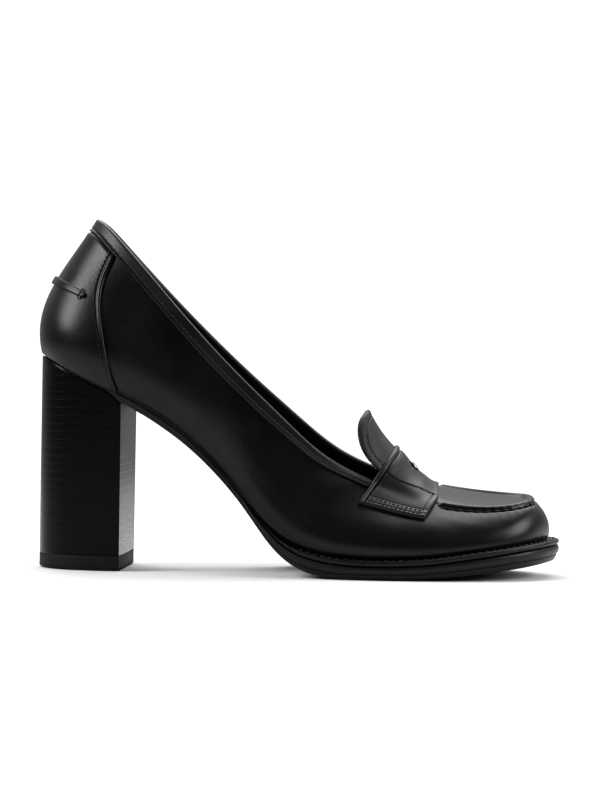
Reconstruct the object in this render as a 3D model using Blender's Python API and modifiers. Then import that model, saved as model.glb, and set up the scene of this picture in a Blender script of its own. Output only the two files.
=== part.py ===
# Loafer pump for the right foot: a moccasin-seamed leather upper on a welted sole and a stacked block heel.
# X runs from the heel to the toe, +Y is the inner (medial) side of the foot, and Z = 0 is the floor.
# Sizes are in millimetres, and mesh_object() turns them into Blender's metres.

import math

import bpy
import numpy as np

METRES_PER_MM = 0.001
BACK_OF_HEEL, TIP_OF_SOLE = -1.2, 219.0
OUTER_SIDE, INNER_SIDE = -43.0, 41.5
GAP = 0.3

WALL = 1.5
OVERLAY = 0.8
TONGUE = 1.3
SADDLE = 1.4
SEAM_RIDGE = 1.2
SEAM_WIDTH = 1.8
SEAM_STARTS_AT = 168.4

HEEL_BREAST = 37.0
HEEL_BASE_HALF_WIDTH = 22.9
TOP_LIFT = 5.7
SEAT_SOLE = 1.1

INSOLE = 1.8
INSOLE_INSET = 2.5
WELT = 2.1
WELT_STARTS_AT, WELT_FULL_AT = 95.0, 112.0
WELT_UNDER_UPPER = 1.4

COLLAR_END = 141.2
SADDLE_DROP_REAR, SADDLE_DROP_FRONT = 15.0, 12.4
SADDLE_SETTLES_OVER = 7.0
THROAT = 151.5
TONGUE_FRONT = 156.5
TONGUE_WIDTH_SHARE = 0.8
TONGUE_TIP_X, TONGUE_TIP_Z = 137.4, 67.6
TONGUE_TIP_ROUND = 16.0
HEEL_STRAP_WIDTH, HEEL_STRAP = 3.6, 1.1
HEEL_STRAP_Z_AT_BACK, HEEL_STRAP_SLOPE = 119.7, 0.40
HEEL_STRAP_END_X = 20.0
STUD_AT = 154.5
STUD_RADIUS, STUD_HEIGHT = 3.3, 1.2

# The shoe's sections, from the centre of the heel to the centre of the toe. The foot is where the upper meets the
# sole, and the top is the collar behind the throat and the moccasin seam in front of it. "out" is the outer side
# and "in" the inner. A lean is in degrees from the wall's own height. The crown is the instep over the seam line.
SECTION_COLUMNS = (
    "foot_x foot_out foot_in top_x top_out top_in top_z_out top_z_in foot_lean top_lean crown_x crown_z"
).split()
SECTIONS = np.array(
    (
        (1.0, 0.0, 0.0, 22.9, 0.0, 0.0, 146.2, 146.2, 14, 30, 0, 0),
        (4.0, 11.8, 11.8, 26.2, 8.2, 8.2, 144.2, 143.8, 18, 24, 0, 0),
        (11.6, 20.0, 19.8, 34.3, 16.0, 15.8, 136.6, 134.9, 26, 15, 0, 0),
        (23.0, 24.0, 23.4, 47.5, 22.0, 21.6, 122.4, 120.4, 34, 10, 0, 0),
        (40.0, 25.0, 23.6, 64.0, 26.2, 25.6, 104.0, 103.3, 38, 6, 0, 0),
        (60.0, 24.4, 21.0, 84.0, 28.8, 28.0, 83.2, 84.2, 42, 8, 0, 0),
        (79.0, 25.4, 20.4, 103.0, 29.8, 28.6, 65.2, 67.6, 42, 14, 0, 0),
        (97.0, 30.2, 24.6, 119.0, 27.6, 26.6, 50.8, 54.6, 36, 26, 0, 0),
        (115.0, 36.2, 31.6, 133.0, 21.8, 21.6, 42.4, 46.6, 30, 40, 9.0, 9.0),
        (134.0, 39.2, 36.4, 147.5, 18.8, 19.2, 35.6, 40.8, 26, 48, 6.2, 7.6),
        (153.0, 39.0, 38.0, 160.0, 20.4, 21.4, 31.0, 36.8, 22, 54, 2.4, 3.6),
        (173.0, 36.2, 36.8, 174.5, 21.4, 23.0, 28.2, 34.2, 18, 58, 0.6, 2.4),
        (190.0, 31.0, 33.2, 189.0, 20.0, 22.4, 27.6, 32.8, 14, 60, 0, 1.5),
        (203.0, 22.4, 26.0, 200.5, 15.4, 18.8, 28.8, 32.2, 12, 60, 0, 0.9),
        (211.5, 9.4, 14.6, 207.6, 6.6, 11.0, 30.4, 31.8, 10, 58, 0, 0.4),
        (214.9, -2.8, 2.8, 208.5, -2.4, 2.4, 30.8, 30.8, 10, 56, 0, 0),
    )
)

# Side view of the last: where the upper meets the sole, and the underside of the sole in front of the heel.
FEATHER_LINE = np.array(
    (
        (-3.0, 91.8),
        (12.0, 84.6),
        (25.0, 78.4),
        (37.0, 73.2),
        (50.0, 66.2),
        (62.0, 57.8),
        (76.0, 44.9),
        (88.0, 31.8),
        (97.0, 21.8),
        (105.0, 15.0),
        (114.0, 10.9),
        (124.0, 8.7),
        (137.0, 7.7),
        (152.0, 7.8),
        (166.0, 8.7),
        (180.0, 10.6),
        (195.0, 12.8),
        (207.0, 14.5),
        (220.0, 15.8),
    )
)
SOLE_UNDERSIDE = np.array(
    (
        (37.0, 69.4),
        (45.7, 65.2),
        (54.0, 60.0),
        (62.5, 53.9),
        (71.0, 46.6),
        (79.5, 38.1),
        (88.0, 28.2),
        (95.0, 18.9),
        (100.0, 12.5),
        (105.0, 7.6),
        (111.0, 3.8),
        (118.0, 1.3),
    )
)
SOLE_FLAT_FROM, SOLE_FLAT_TO = 126.0, 156.0
SOLE_TOE_SPRING = 6.8

# How far the sole's edge stands out from the foot of the upper, by length, and inside it where it is negative.
SOLE_MARGIN = np.array(
    ((0.0, -0.2), (60.0, -0.6), (85.0, -0.6), (98.0, 0.6), (112.0, 2.6), (130.0, 3.6), (200.0, 3.8), (214.0, 4.4))
)

# The side of the outsole: share of its thickness from the ground up, and how far it lies inside the edge.
SOLE_SIDE = np.array(((0.0, 1.9), (0.3, 0.9), (0.42, 1.15), (0.56, 0.3), (0.8, 0.0), (1.0, 0.5)))

# The side of the welt: share of its height from the sole up, and how far it lies inside its edge.
WELT_SIDE = np.array(((0.0, 0.4), (0.45, 0.0), (1.0, 0.5)))

# Width of the band along the collar, by length.
BAND_WIDTH = np.array(((22.0, 5.6), (34.0, 6.0), (64.0, 5.4), (100.0, 4.9), (112.0, 4.1), (145.0, 3.9)))

# Rear and front edge of the saddle: 0 is its lower end, 1 the top of the wall and 2 the middle of the instep,
# and beside each the place along the seam, by length.
SADDLE_REAR = np.array(((0.0, 141.2), (1.0, 141.2), (1.4, 140.0), (2.0, 139.6)))
SADDLE_FRONT = np.array(((0.0, 163.9), (1.0, 166.8), (1.4, 167.4), (2.0, 166.3)))

# Front edge of the counter, from the sole to the band: length by height.
COUNTER_EDGE = np.array(((70.0, 37.0), (84.0, 32.9), (100.0, 29.4), (112.0, 28.0), (120.0, 29.0), (136.0, 36.0)))

LEATHER = ((0.012, 0.012, 0.013), 0.38)
LINING = ((0.02, 0.019, 0.018), 0.6)
SOLE_EDGE = ((0.014, 0.013, 0.013), 0.45)
STACKED_HEEL = ((0.012, 0.011, 0.011), 0.32)
RUBBER = ((0.025, 0.025, 0.025), 0.7)
WHITE_PLATE = ((0.75, 0.74, 0.72), 0.25)


def tridiagonal_bends(knots, values):
    """Second derivatives of the smooth curve through the values, zero at both ends."""
    steps = np.diff(knots)
    count = len(knots)
    matrix, right = np.eye(count), np.zeros(count)
    for i in range(1, count - 1):
        matrix[i, i - 1 : i + 2] = steps[i - 1], 2 * (steps[i - 1] + steps[i]), steps[i]
        slopes = np.diff(values[i - 1 : i + 2]) / steps[i - 1 : i + 1]
        right[i] = 6 * (slopes[1] - slopes[0])
    return np.linalg.solve(matrix, right)


def cubic_pieces(knots, values, bends, at):
    """The cubic curve with these values and second derivatives at its knots."""
    piece = np.clip(np.searchsorted(knots, at, side="right") - 1, 0, len(knots) - 2)
    step = knots[piece + 1] - knots[piece]
    after = (at - knots[piece]) / step
    before = 1 - after
    bend = (before**3 - before) * bends[piece] + (after**3 - after) * bends[piece + 1]
    return before * values[piece] + after * values[piece + 1] + bend * step**2 / 6


def curve_through(table, at):
    """A smooth curve through a table of two columns."""
    knots, values = table[:, 0], table[:, 1]
    return cubic_pieces(knots, values, tridiagonal_bends(knots, values), np.asarray(at, float))


def closed_bends(knots, values):
    """Second derivatives of the smooth closed curve. The last knot repeats the first."""
    steps = np.diff(knots)
    count = len(steps)
    matrix, right = np.zeros((count, count)), np.zeros(count)
    for i in range(count):
        matrix[i, i - 1] += steps[i - 1]
        matrix[i, i] += 2 * (steps[i - 1] + steps[i])
        matrix[i, (i + 1) % count] += steps[i]
        rise, fall = (values[i + 1] - values[i]) / steps[i], (values[i] - values[i - 1]) / steps[i - 1]
        if i == 0:
            fall = (values[0] - values[count - 1]) / steps[-1]
        right[i] = 6 * (rise - fall)
    bends = np.linalg.solve(matrix, right)
    return np.append(bends, bends[0])


def column(name):
    return SECTIONS[:, SECTION_COLUMNS.index(name)]


def round_the_shoe(outer, inner):
    """One value for each section, from the heel along the outer side to the toe, and back along the inner side."""
    return np.concatenate([outer, inner[-2::-1]])


def girth_knots():
    """Distance round the foot of the upper, the same on both sides, so that the two sides pair up."""
    half_width = (column("foot_out") + column("foot_in")) / 2
    side = np.hypot(np.diff(column("foot_x")), np.diff(half_width))
    return np.concatenate([[0], np.cumsum(np.concatenate([side, side[::-1]]))])


KNOTS = girth_knots()
GIRTH = KNOTS[-1]
TOE = GIRTH / 2


def sampled(outer, inner, girth):
    values = round_the_shoe(outer, inner)
    return cubic_pieces(KNOTS, values, closed_bends(KNOTS, values), np.mod(girth, GIRTH))


def foot_points(girth, margin=0.0):
    """The foot of the upper in plan, moved outwards by the margin, and the direction outwards."""
    step = 0.05

    def place(at):
        return np.stack(
            [
                sampled(column("foot_x"), column("foot_x"), at),
                sampled(-column("foot_out"), column("foot_in"), at),
            ],
            axis=-1,
        )

    along = place(girth + step) - place(girth - step)
    along /= np.linalg.norm(along, axis=-1, keepdims=True)
    outwards = np.stack([along[:, 1], -along[:, 0]], axis=-1)
    return place(girth) + outwards * np.reshape(margin, (-1, 1)), outwards


def feather_z(x):
    return curve_through(FEATHER_LINE, x)


def top_points(girth):
    return np.stack(
        [
            sampled(column("top_x"), column("top_x"), girth),
            sampled(-column("top_out"), column("top_in"), girth),
            sampled(column("top_z_out"), column("top_z_in"), girth),
        ],
        axis=-1,
    )


def wall(girth, share):
    """The upper's outer face: a row of points for each place round the shoe, at shares of the height of its wall."""
    plan, outwards = foot_points(girth)
    foot = np.column_stack([plan, feather_z(plan[:, 0])])
    top = top_points(girth)
    outwards = np.column_stack([outwards, np.zeros(len(girth))])
    chord = top - foot
    upwards = chord - np.sum(chord * outwards, axis=1, keepdims=True) * outwards
    upwards /= np.linalg.norm(upwards, axis=1, keepdims=True)
    handle = 0.38 * np.linalg.norm(chord, axis=1, keepdims=True)
    foot_lean = np.radians(sampled(column("foot_lean"), column("foot_lean"), girth))[:, None]
    top_lean = np.radians(sampled(column("top_lean"), column("top_lean"), girth))[:, None]
    low = foot + handle * (np.cos(foot_lean) * upwards + np.sin(foot_lean) * outwards)
    high = top - handle * (np.cos(top_lean) * upwards - np.sin(top_lean) * outwards)
    t = np.linspace(0, 1, 41)[None, :, None]
    path = (
        foot[:, None] * (1 - t) ** 3
        + 3 * low[:, None] * t * (1 - t) ** 2
        + 3 * high[:, None] * t**2 * (1 - t)
        + top[:, None] * t**3
    )
    length = np.cumsum(np.linalg.norm(np.diff(path, axis=1), axis=2), axis=1)
    length = np.column_stack([np.zeros(len(girth)), length])
    share = np.broadcast_to(share, (len(girth), np.shape(share)[-1]))
    rows = [
        np.column_stack([np.interp(s * total[-1], total, line[:, axis]) for axis in range(3)])
        for line, total, s in zip(path, length, share)
    ]
    return np.array(rows)


def wall_height(girth):
    """Length of the wall from its foot to its top, along the leather."""
    line = wall(girth, np.linspace(0, 1, 25))
    return np.sum(np.linalg.norm(np.diff(line, axis=1), axis=2), axis=1)


def bowed(outer, inner, crown, across):
    """Rows from an outer point over a raised middle to an inner point. across runs from -1 to 1."""
    bow = math.radians(60)
    across = np.broadcast_to(across, (len(outer), np.shape(across)[-1]))[..., None]
    sideways = np.sin(bow * across) / math.sin(bow)
    lift = (np.cos(bow * across) - math.cos(bow)) / (1 - math.cos(bow))
    middle, half = (outer + inner) / 2, (inner - outer) / 2
    return middle[:, None] + half[:, None] * sideways + crown[:, None] * lift


def crowns(girth):
    """How far the middle of the instep lies forward of and above its two sides."""
    forward, up = (sampled(column(name), column(name), girth) for name in ("crown_x", "crown_z"))
    return np.stack([forward, np.zeros(len(girth)), up], axis=-1)


def over_the_instep(girth, across):
    """Rows from the outer side's seam, over the instep, to the inner side's."""
    return bowed(top_points(girth), top_points(GIRTH - girth), crowns(girth), across)


def inside_seam(girth):
    """The line on the apron a seam's width inside the moccasin seam, and how far it has climbed."""
    top, mirrored = top_points(girth), top_points(GIRTH - girth)
    along = top_points(girth + 0.3) - top_points(girth - 0.3)
    inwards = np.column_stack([-along[:, 1], along[:, 0], np.zeros(len(girth))])
    inwards /= np.linalg.norm(inwards, axis=1, keepdims=True)
    half = np.maximum(np.linalg.norm(top - mirrored, axis=1) / 2, 10)
    steep = 3 * crowns(np.minimum(girth, GIRTH - girth))[:, 2] / half
    run = SEAM_WIDTH / np.hypot(1, steep)
    return top + inwards * run[:, None] + np.outer(steep * run, (0, 0, 1)), steep * run


def girth_where(values, wanted, girths):
    """The place round the shoe where a rising series of values reaches the one wanted."""
    return float(np.interp(wanted, values, girths))


def girth_at_top(x):
    girths = np.linspace(0, TOE, 400)
    return girth_where(top_points(girths)[:, 0], x, girths)


def girth_at_foot(x):
    girths = np.linspace(0, TOE, 400)
    return girth_where(foot_points(girths)[0][:, 0], x, girths)


def grid_faces(rows, columns, closed=False, first=0):
    """Quads over a grid of points, its rows one after another. A closed grid joins its last row to its first."""
    last = rows if closed else rows - 1
    return [
        (
            first + i * columns + j,
            first + (i + 1) % rows * columns + j,
            first + (i + 1) % rows * columns + j + 1,
            first + i * columns + j + 1,
        )
        for i in range(last)
        for j in range(columns - 1)
    ]


def vertex_normals(points, faces):
    normals = np.zeros_like(points)
    for face in faces:
        corners = points[list(face)]
        normal = np.cross(corners[2] - corners[0], corners[-1] - corners[1])
        for index in set(face):
            normals[index] += normal
    return normals / np.linalg.norm(normals, axis=1, keepdims=True)


def material(name, finish):
    colour, roughness = finish
    made = bpy.data.materials.get(name) or bpy.data.materials.new(name)
    made.use_nodes = True
    shader = made.node_tree.nodes["Principled BSDF"]
    shader.inputs["Base Color"].default_value = (*colour, 1)
    shader.inputs["Roughness"].default_value = roughness
    shader.inputs["Metallic"].default_value = 1.0 if finish is WHITE_PLATE else 0.0
    return made


def mesh_object(name, points, faces, finish):
    """A mesh object with its own material, moved so that the shoe's middle stands over the origin."""
    middle = ((BACK_OF_HEEL + TIP_OF_SOLE) / 2, (OUTER_SIDE + INNER_SIDE) / 2, 0)
    points = (np.asarray(points) - middle) * METRES_PER_MM
    mesh = bpy.data.meshes.new(name)
    mesh.from_pydata(points.tolist(), [], faces)
    mesh.update()
    mesh.shade_smooth()
    mesh.set_sharp_from_angle(angle=math.radians(35))
    made = bpy.data.objects.new(name, mesh)
    made.data.materials.append(material(name, finish))
    shoe.objects.link(made)
    return made


def thicken(made, millimetres, weights=None):
    """Gives an open surface its wall, outwards. Weights are the share of the thickness at each point."""
    solidify = made.modifiers.new("Wall", "SOLIDIFY")
    solidify.thickness = millimetres * METRES_PER_MM
    solidify.offset = 1
    solidify.use_even_offset = False
    if weights is not None:
        group = made.vertex_groups.new(name="thickness")
        for index, weight in enumerate(weights):
            group.add([index], float(weight), "REPLACE")
        solidify.vertex_group = group.name
    return made


def stacked_loops(name, loops, finish):
    """A solid from loops of points laid one over another, closed at both ends by pairing the loop's two sides."""
    count = len(loops[0])
    points = np.concatenate(loops)
    faces = []
    for level in range(len(loops) - 1):
        for j in range(count):
            k = (j + 1) % count
            base = level * count
            faces.append((base + j, base + k, base + count + k, base + count + j))
    half = count // 2
    for base, upwards in ((0, False), ((len(loops) - 1) * count, True)):
        for j in range(half):
            cap = [base + j, base + j + 1, base + (count - j - 1) % count, base + (count - j) % count]
            cap = list(dict.fromkeys(cap))
            faces.append(tuple(cap) if upwards else tuple(reversed(cap)))
    return mesh_object(name, points, faces, finish)


def sole_underside_z(x):
    """Underside of the sole: thin over the heel, down the waist, flat under the ball and up at the toe."""
    x = np.asarray(x, float)
    waist = np.vstack([SOLE_UNDERSIDE, ((SOLE_FLAT_FROM, 0.0), (SOLE_FLAT_FROM + 10, 0.0))])
    down = np.maximum(curve_through(waist, np.clip(x, HEEL_BREAST, SOLE_FLAT_FROM)), 0)
    spring = np.clip((x - SOLE_FLAT_TO) / (TIP_OF_SOLE - SOLE_FLAT_TO), 0, 2) ** 1.35 * SOLE_TOE_SPRING
    seat = feather_z(x) - GAP - SEAT_SOLE
    breast = np.clip((x - HEEL_BREAST + 7) / 7, 0, 1)
    under_seat = seat + (down - seat) * breast**2
    return np.where(x < HEEL_BREAST, under_seat, np.where(x < SOLE_FLAT_FROM, down, spring))


def welt_height(x):
    return WELT * np.clip(0.3 + 0.7 * (x - WELT_STARTS_AT) / (WELT_FULL_AT - WELT_STARTS_AT), 0.3, 1)


def sole_top_z(x):
    """Top of the outsole: under the upper at the heel and waist, and under the welt round the forefoot."""
    start = np.clip((x - WELT_STARTS_AT + 6) / 4, 0, 1)
    return feather_z(x) - GAP - (welt_height(x) + GAP) * start


def sole_margin(girth):
    x = foot_points(girth)[0][:, 0]
    return np.interp(x, SOLE_MARGIN[:, 0], SOLE_MARGIN[:, 1])


def stations():
    """Places round the shoe for the points of every piece: closer together at the heel and the toe."""
    heel, toe = girth_at_foot(30.0), TOE - 46
    breast, seam = girth_at_foot(HEEL_BREAST), girth_at_top(SEAM_STARTS_AT)
    outer = [np.arange(0, heel, 4.0), [heel / 2 + breast / 2 - 1, breast], np.linspace(breast + 6, seam, 20)]
    outer = np.concatenate([*outer, np.arange(seam + 6, toe, 7.0), np.arange(toe, TOE - 2, 4.2)])
    return np.concatenate([outer, [TOE], GIRTH - outer[:0:-1]])


def between(low, high):
    """The shared stations between two places, with the two ends themselves. A negative place is behind the heel."""
    everywhere = np.concatenate([STATIONS - GIRTH, STATIONS])
    inner = everywhere[(everywhere > low + 1.2) & (everywhere < high - 1.2)]
    return np.concatenate([[low], inner, [high]])


def patch(name, points, finish, offset, thickness):
    """A sheet of leather over a grid of points, held off it by the offset."""
    rows, columns = points.shape[:2]
    faces = grid_faces(rows, columns)
    flat = points.reshape(-1, 3)
    flat = flat + vertex_normals(flat, faces) * np.broadcast_to(offset, (rows, columns)).reshape(-1, 1)
    return thicken(mesh_object(name, flat, faces, finish), thickness)


def make_upper():
    """The hollow upper: a wall round the foot, and the apron over the toes inside the raised moccasin seam."""
    girths, count = STATIONS, len(STATIONS)
    height = wall_height(girths)[:, None]
    shares = np.tile([0, 0.1, 0.22, 0.35, 0.49, 0.63, 0.77, 0.89], (count, 1))
    shares = np.column_stack([shares, np.maximum(1 - SEAM_WIDTH / height, 0.92), np.ones(count)])
    levels, width, toe = shares.shape[1], 11, count // 2
    side = wall(girths, shares)
    throat = int(np.searchsorted(girths, girth_at_top(THROAT)))
    edge, climbed = inside_seam(girths[throat : count - throat + 1])
    rows = toe - throat
    crown = crowns(girths[throat:toe])
    crown = crown * np.clip(1 - climbed[:rows, None] / np.maximum(crown[:, 2:], 0.5), 0.2, 1)
    apron = bowed(edge[:rows], edge[:rows:-1], crown, np.linspace(-1, 1, width))
    points = np.concatenate([side.reshape(-1, 3), apron.reshape(-1, 3), edge[rows : rows + 1]])
    faces = grid_faces(count, levels, closed=True)
    base, top = count * levels, levels - 1
    tip, last = len(points) - 1, base + (rows - 1) * width
    faces += grid_faces(rows, width, first=base)
    faces += [(last + j, tip, last + j + 1) for j in range(width - 1)]
    seam = [k * levels + top for k in range(throat, count - throat + 1)]
    rim = [base + i * width for i in range(rows)] + [tip] + [base + i * width + width - 1 for i in reversed(range(rows))]
    faces += [(seam[k], seam[k + 1], rim[k + 1], rim[k]) for k in range(len(seam) - 1)]
    ridge = np.zeros(len(points))
    ridge[np.arange(count) * levels + top] = np.clip((side[:, -1, 0] - SEAM_STARTS_AT - 0.1) / 3, 0, 1)
    inside = points - vertex_normals(points, faces) * WALL
    full = WALL + SEAM_RIDGE
    return thicken(mesh_object("upper", inside, faces, LEATHER), full, (WALL + ridge * SEAM_RIDGE) / full)


def band_share(girths):
    """Share of the wall's height at which the collar band begins."""
    return 1 - np.interp(top_points(girths)[:, 0], BAND_WIDTH[:, 0], BAND_WIDTH[:, 1]) / wall_height(girths)


def make_collar_band():
    end = girth_at_top(COLLAR_END) - GAP - 0.2
    girths = between(-end, end)
    low = band_share(girths)
    shares = low[:, None] + (1 - low[:, None]) * np.array([0, 0.5, 1])
    return patch("collar_band", wall(girths, shares), LEATHER, GAP, OVERLAY)


def make_counter():
    """The panel round the back of the heel, from the sole up to the collar band."""
    fine = np.linspace(0, girth_at_foot(50.0), 90)
    ceiling = band_share(fine) - (GAP + 0.1) / wall_height(fine)
    rows = []
    for level in np.linspace(0.02, 1, 12):
        line = wall(fine, (level * ceiling)[:, None])[:, 0]
        edge_x = curve_through(COUNTER_EDGE, line[:, 2])
        end = float(np.interp(0, line[:, 0] - edge_x, fine))
        side = np.linspace(0, 1, 14) * end
        girths = np.concatenate([-side[:0:-1], side])
        share = level * np.interp(np.abs(girths), fine, ceiling)
        rows.append(wall(girths, share[:, None])[:, 0])
    return patch("counter_panel", np.stack(rows, axis=1), LEATHER, GAP + 0.1, OVERLAY)


def make_heel_strap():
    """The flat strap round the back of the counter, dipping forwards on both sides."""
    girths = between(-girth_at_foot(HEEL_STRAP_END_X - 9), girth_at_foot(HEEL_STRAP_END_X - 9))
    levels = np.linspace(0.2, 0.9, 60)
    line = wall(girths, np.tile(levels, (len(girths), 1)))
    above = line[..., 2] - (HEEL_STRAP_Z_AT_BACK - HEEL_STRAP_SLOPE * (line[..., 0] - line[len(girths) // 2, 30, 0]))
    middle = np.array([np.interp(0, row, levels) for row in above])
    half = HEEL_STRAP_WIDTH / 2 / wall_height(girths)
    shares = middle[:, None] + half[:, None] * np.array([-1, 0, 1])
    return patch("heel_strap", wall(girths, shares), LEATHER, 2 * GAP + 0.15 + OVERLAY, HEEL_STRAP)


def make_tongue():
    """The tongue: it lies on the apron under the saddle, then rises clear of the instep to a rounded tip."""
    rear, front = girth_at_top(COLLAR_END), girth_at_top(TONGUE_FRONT)
    across = TONGUE_WIDTH_SHARE * np.linspace(-1, 1, 11)
    lying = over_the_instep(between(rear, front), across)
    root, step = lying[0], lying[0] - lying[1]
    centre = root[5]
    start = math.atan2(step[5, 2], -step[5, 0])
    rise, run = TONGUE_TIP_Z - centre[2], centre[0] - TONGUE_TIP_X
    finish = 2 * math.atan2(rise, run) - start
    length = math.hypot(rise, run)
    standing = []
    for travelled in np.array([0.985, 0.93, 0.83, 0.7, 0.54, 0.36, 0.18]):
        turned = start + (finish - start) * travelled
        left = (1 - travelled) * length / TONGUE_TIP_ROUND
        narrow = (1 - (1 - min(left, 1)) ** 2.2) ** (1 / 2.2)
        mean = (start + turned) / 2
        place = centre + travelled * length * np.array([-math.cos(mean), 0, math.sin(mean)])
        arc = root - centre
        lean = turned - start
        spun = np.column_stack(
            [
                arc[:, 0] * math.cos(lean) + arc[:, 2] * math.sin(lean),
                arc[:, 1],
                arc[:, 2] * math.cos(lean) - arc[:, 0] * math.sin(lean),
            ]
        )
        standing.append(place + spun * (narrow, narrow, narrow))
    return patch("tongue", np.concatenate([np.array(standing), lying]), LEATHER, GAP + 0.1, TONGUE)


def make_saddle():
    """The strap over the instep. Each of its lines runs from the rear edge to the front edge."""
    shares, across = np.array([1, 0.8, 0.6, 0.4, 0.2]), np.linspace(-0.97, 0.97, 13)
    climbed = np.concatenate([1 - shares, 2 - np.abs(across), 1 - shares[::-1]])
    rear, front = (
        np.array([girth_at_top(x) for x in np.interp(climbed, edge[:, 0], edge[:, 1])])
        for edge in (SADDLE_REAR, SADDLE_FRONT)
    )
    inner = between(rear.max(), front.min())[1:-1]
    girths = np.column_stack([rear, np.tile(inner, (len(climbed), 1)), (inner[-1] + front) / 2, front])
    along = (girths - rear[:, None]) / (front - rear)[:, None]
    drop = SADDLE_DROP_REAR + (SADDLE_DROP_FRONT - SADDLE_DROP_REAR) * along
    lines = []
    for k, places in enumerate(girths):
        if 5 <= k < 18:
            lines.append(over_the_instep(places, np.full((len(places), 1), across[k - 5]))[:, 0])
            continue
        places, share = (places, shares[k]) if k < 5 else (GIRTH - places, shares[22 - k])
        lines.append(wall(places, (1 - drop[k] * share / wall_height(places))[:, None])[:, 0])
    # It lies on the wall at its ends, on the tongue over the instep, and on the apron in front of the tongue.
    raised = np.array([0, 0, 0, 0.05, 0.3, 0.75, *np.ones(11), 0.75, 0.3, 0.05, 0, 0, 0])[:, None]
    past_tongue = (top_points(girths.ravel())[:, 0].reshape(girths.shape) - TONGUE_FRONT - 2) / SADDLE_SETTLES_OVER
    offset = GAP + 0.1 + (2 * GAP + 0.1 + TONGUE) * (1 - np.clip(past_tongue, 0, 1)) * raised
    return patch("saddle_strap", np.stack(lines, axis=1), LEATHER, offset.T, SADDLE)


def make_stud():
    """The plain round stud on the middle of the saddle."""
    place = girth_at_top(STUD_AT) + np.array([-1.0, 0.0, 1.0])
    around = over_the_instep(place, np.array([-0.05, 0, 0.05]))
    forwards = around[2, 1] - around[0, 1]
    forwards /= np.linalg.norm(forwards)
    upwards = np.cross(forwards, (0, 1, 0))
    centre = around[1, 1] + upwards * (4 * GAP + TONGUE + SADDLE + 0.35)
    turn = np.arange(20) * math.tau / 20
    ring = np.cos(turn)[:, None] * forwards + np.sin(turn)[:, None] * np.array([0, 1, 0])
    rim = ((0.0, 0.94), (0.3, 1.0), (0.75, 1.0), (1.0, 0.82))
    loops = [centre + ring * STUD_RADIUS * size + upwards * STUD_HEIGHT * height for height, size in rim]
    return stacked_loops("saddle_stud", loops, WHITE_PLATE)


def sole_loop(girths, inset, height):
    """The outsole's outline at a share of its thickness, with its edge moved in."""
    plan = foot_points(girths, sole_margin(girths) - inset)[0]
    low, high = sole_underside_z(plan[:, 0]), sole_top_z(plan[:, 0])
    return np.column_stack([plan, low + height * (high - low)])


def make_outsole():
    x = foot_points(STATIONS)[0][:, 0]
    depth = np.clip((x - HEEL_BREAST) / 70, 0.25, 1)
    loops = [sole_loop(STATIONS, inset * depth, share) for share, inset in SOLE_SIDE]
    return stacked_loops("outsole", loops, SOLE_EDGE)


def make_welt():
    """The strip sewn round the forefoot between the upper and the outsole."""
    start = girth_at_foot(WELT_STARTS_AT)
    girths = between(start, GIRTH - start)
    margin = sole_margin(girths)
    section = []
    for share, inset in ((0.0, None), *WELT_SIDE, (1.0, None)):
        edge = np.full(len(girths), -WELT_UNDER_UPPER) if inset is None else margin - inset
        plan = foot_points(girths, edge)[0]
        z = feather_z(plan[:, 0]) - GAP - welt_height(plan[:, 0]) * (1 - share)
        section.append(np.column_stack([plan, z]))
    rows, columns = len(girths), len(section)
    points = np.stack(section, axis=1).reshape(-1, 3)
    faces = grid_faces(rows, columns)
    faces += [(i * columns + columns - 1, (i + 1) * columns + columns - 1, (i + 1) * columns, i * columns) for i in range(rows - 1)]
    faces.append(tuple(range(columns)))
    faces.append(tuple((rows - 1) * columns + j for j in reversed(range(columns))))
    return mesh_object("welt", points, faces, SOLE_EDGE)


def make_insole():
    loops = []
    for height, inset in ((0.0, INSOLE_INSET), (0.6, INSOLE_INSET), (1.0, INSOLE_INSET + 0.7)):
        plan = foot_points(STATIONS, np.full(len(STATIONS), -inset))[0]
        low, high = sole_top_z(plan[:, 0]) + GAP, feather_z(plan[:, 0]) + INSOLE
        loops.append(np.column_stack([plan, low + height * (high - low)]))
    return stacked_loops("insole", loops, LINING)


def heel_outline(inset, base):
    """The heel in plan: a D with a flat breast. base runs from 0 at the sole's seat to 1 at the floor."""
    breast = girth_at_foot(HEEL_BREAST)
    side = STATIONS[STATIONS <= breast + 0.01]
    girths = np.concatenate([side, GIRTH - side[:0:-1]])
    plan = foot_points(girths, sole_margin(girths) - 0.3)[0]
    widest = np.abs(plan[:, 1]).max()
    narrow = 1 + (HEEL_BASE_HALF_WIDTH / widest - 1) * base
    back = plan[:, 0].min()
    plan[:, 0] = HEEL_BREAST + (plan[:, 0] - HEEL_BREAST) * (HEEL_BREAST - inset) / (HEEL_BREAST - back)
    plan[:, 1] = plan[:, 1] * narrow
    plan = plan - plan * inset / HEEL_BASE_HALF_WIDTH * (0, 1)
    corner = len(side)
    breast_middle = [[HEEL_BREAST, (plan[corner - 1, 1] + plan[corner, 1]) / 2]]
    plan = np.concatenate([plan[:corner], breast_middle, plan[corner:]])
    return plan


def make_heel_block():
    loops = []
    for share in (0.0, 0.25, 0.5, 0.75, 1.0):
        plan = heel_outline(0.0, 1 - share)
        top = sole_underside_z(np.minimum(plan[:, 0], HEEL_BREAST - 0.01)) - GAP
        low = TOP_LIFT + GAP
        loops.append(np.column_stack([plan, low + share * (top - low)]))
    return stacked_loops("heel_block", loops, STACKED_HEEL)


def make_top_lift():
    loops = []
    for z, inset in ((0.0, 0.6), (0.6, 0.0), (TOP_LIFT, 0.0)):
        plan = heel_outline(inset, 1)
        loops.append(np.column_stack([plan, np.full(len(plan), z)]))
    return stacked_loops("top_lift", loops, RUBBER)


STATIONS = stations()
shoe = bpy.data.collections.new("Loafer pump")


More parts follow.
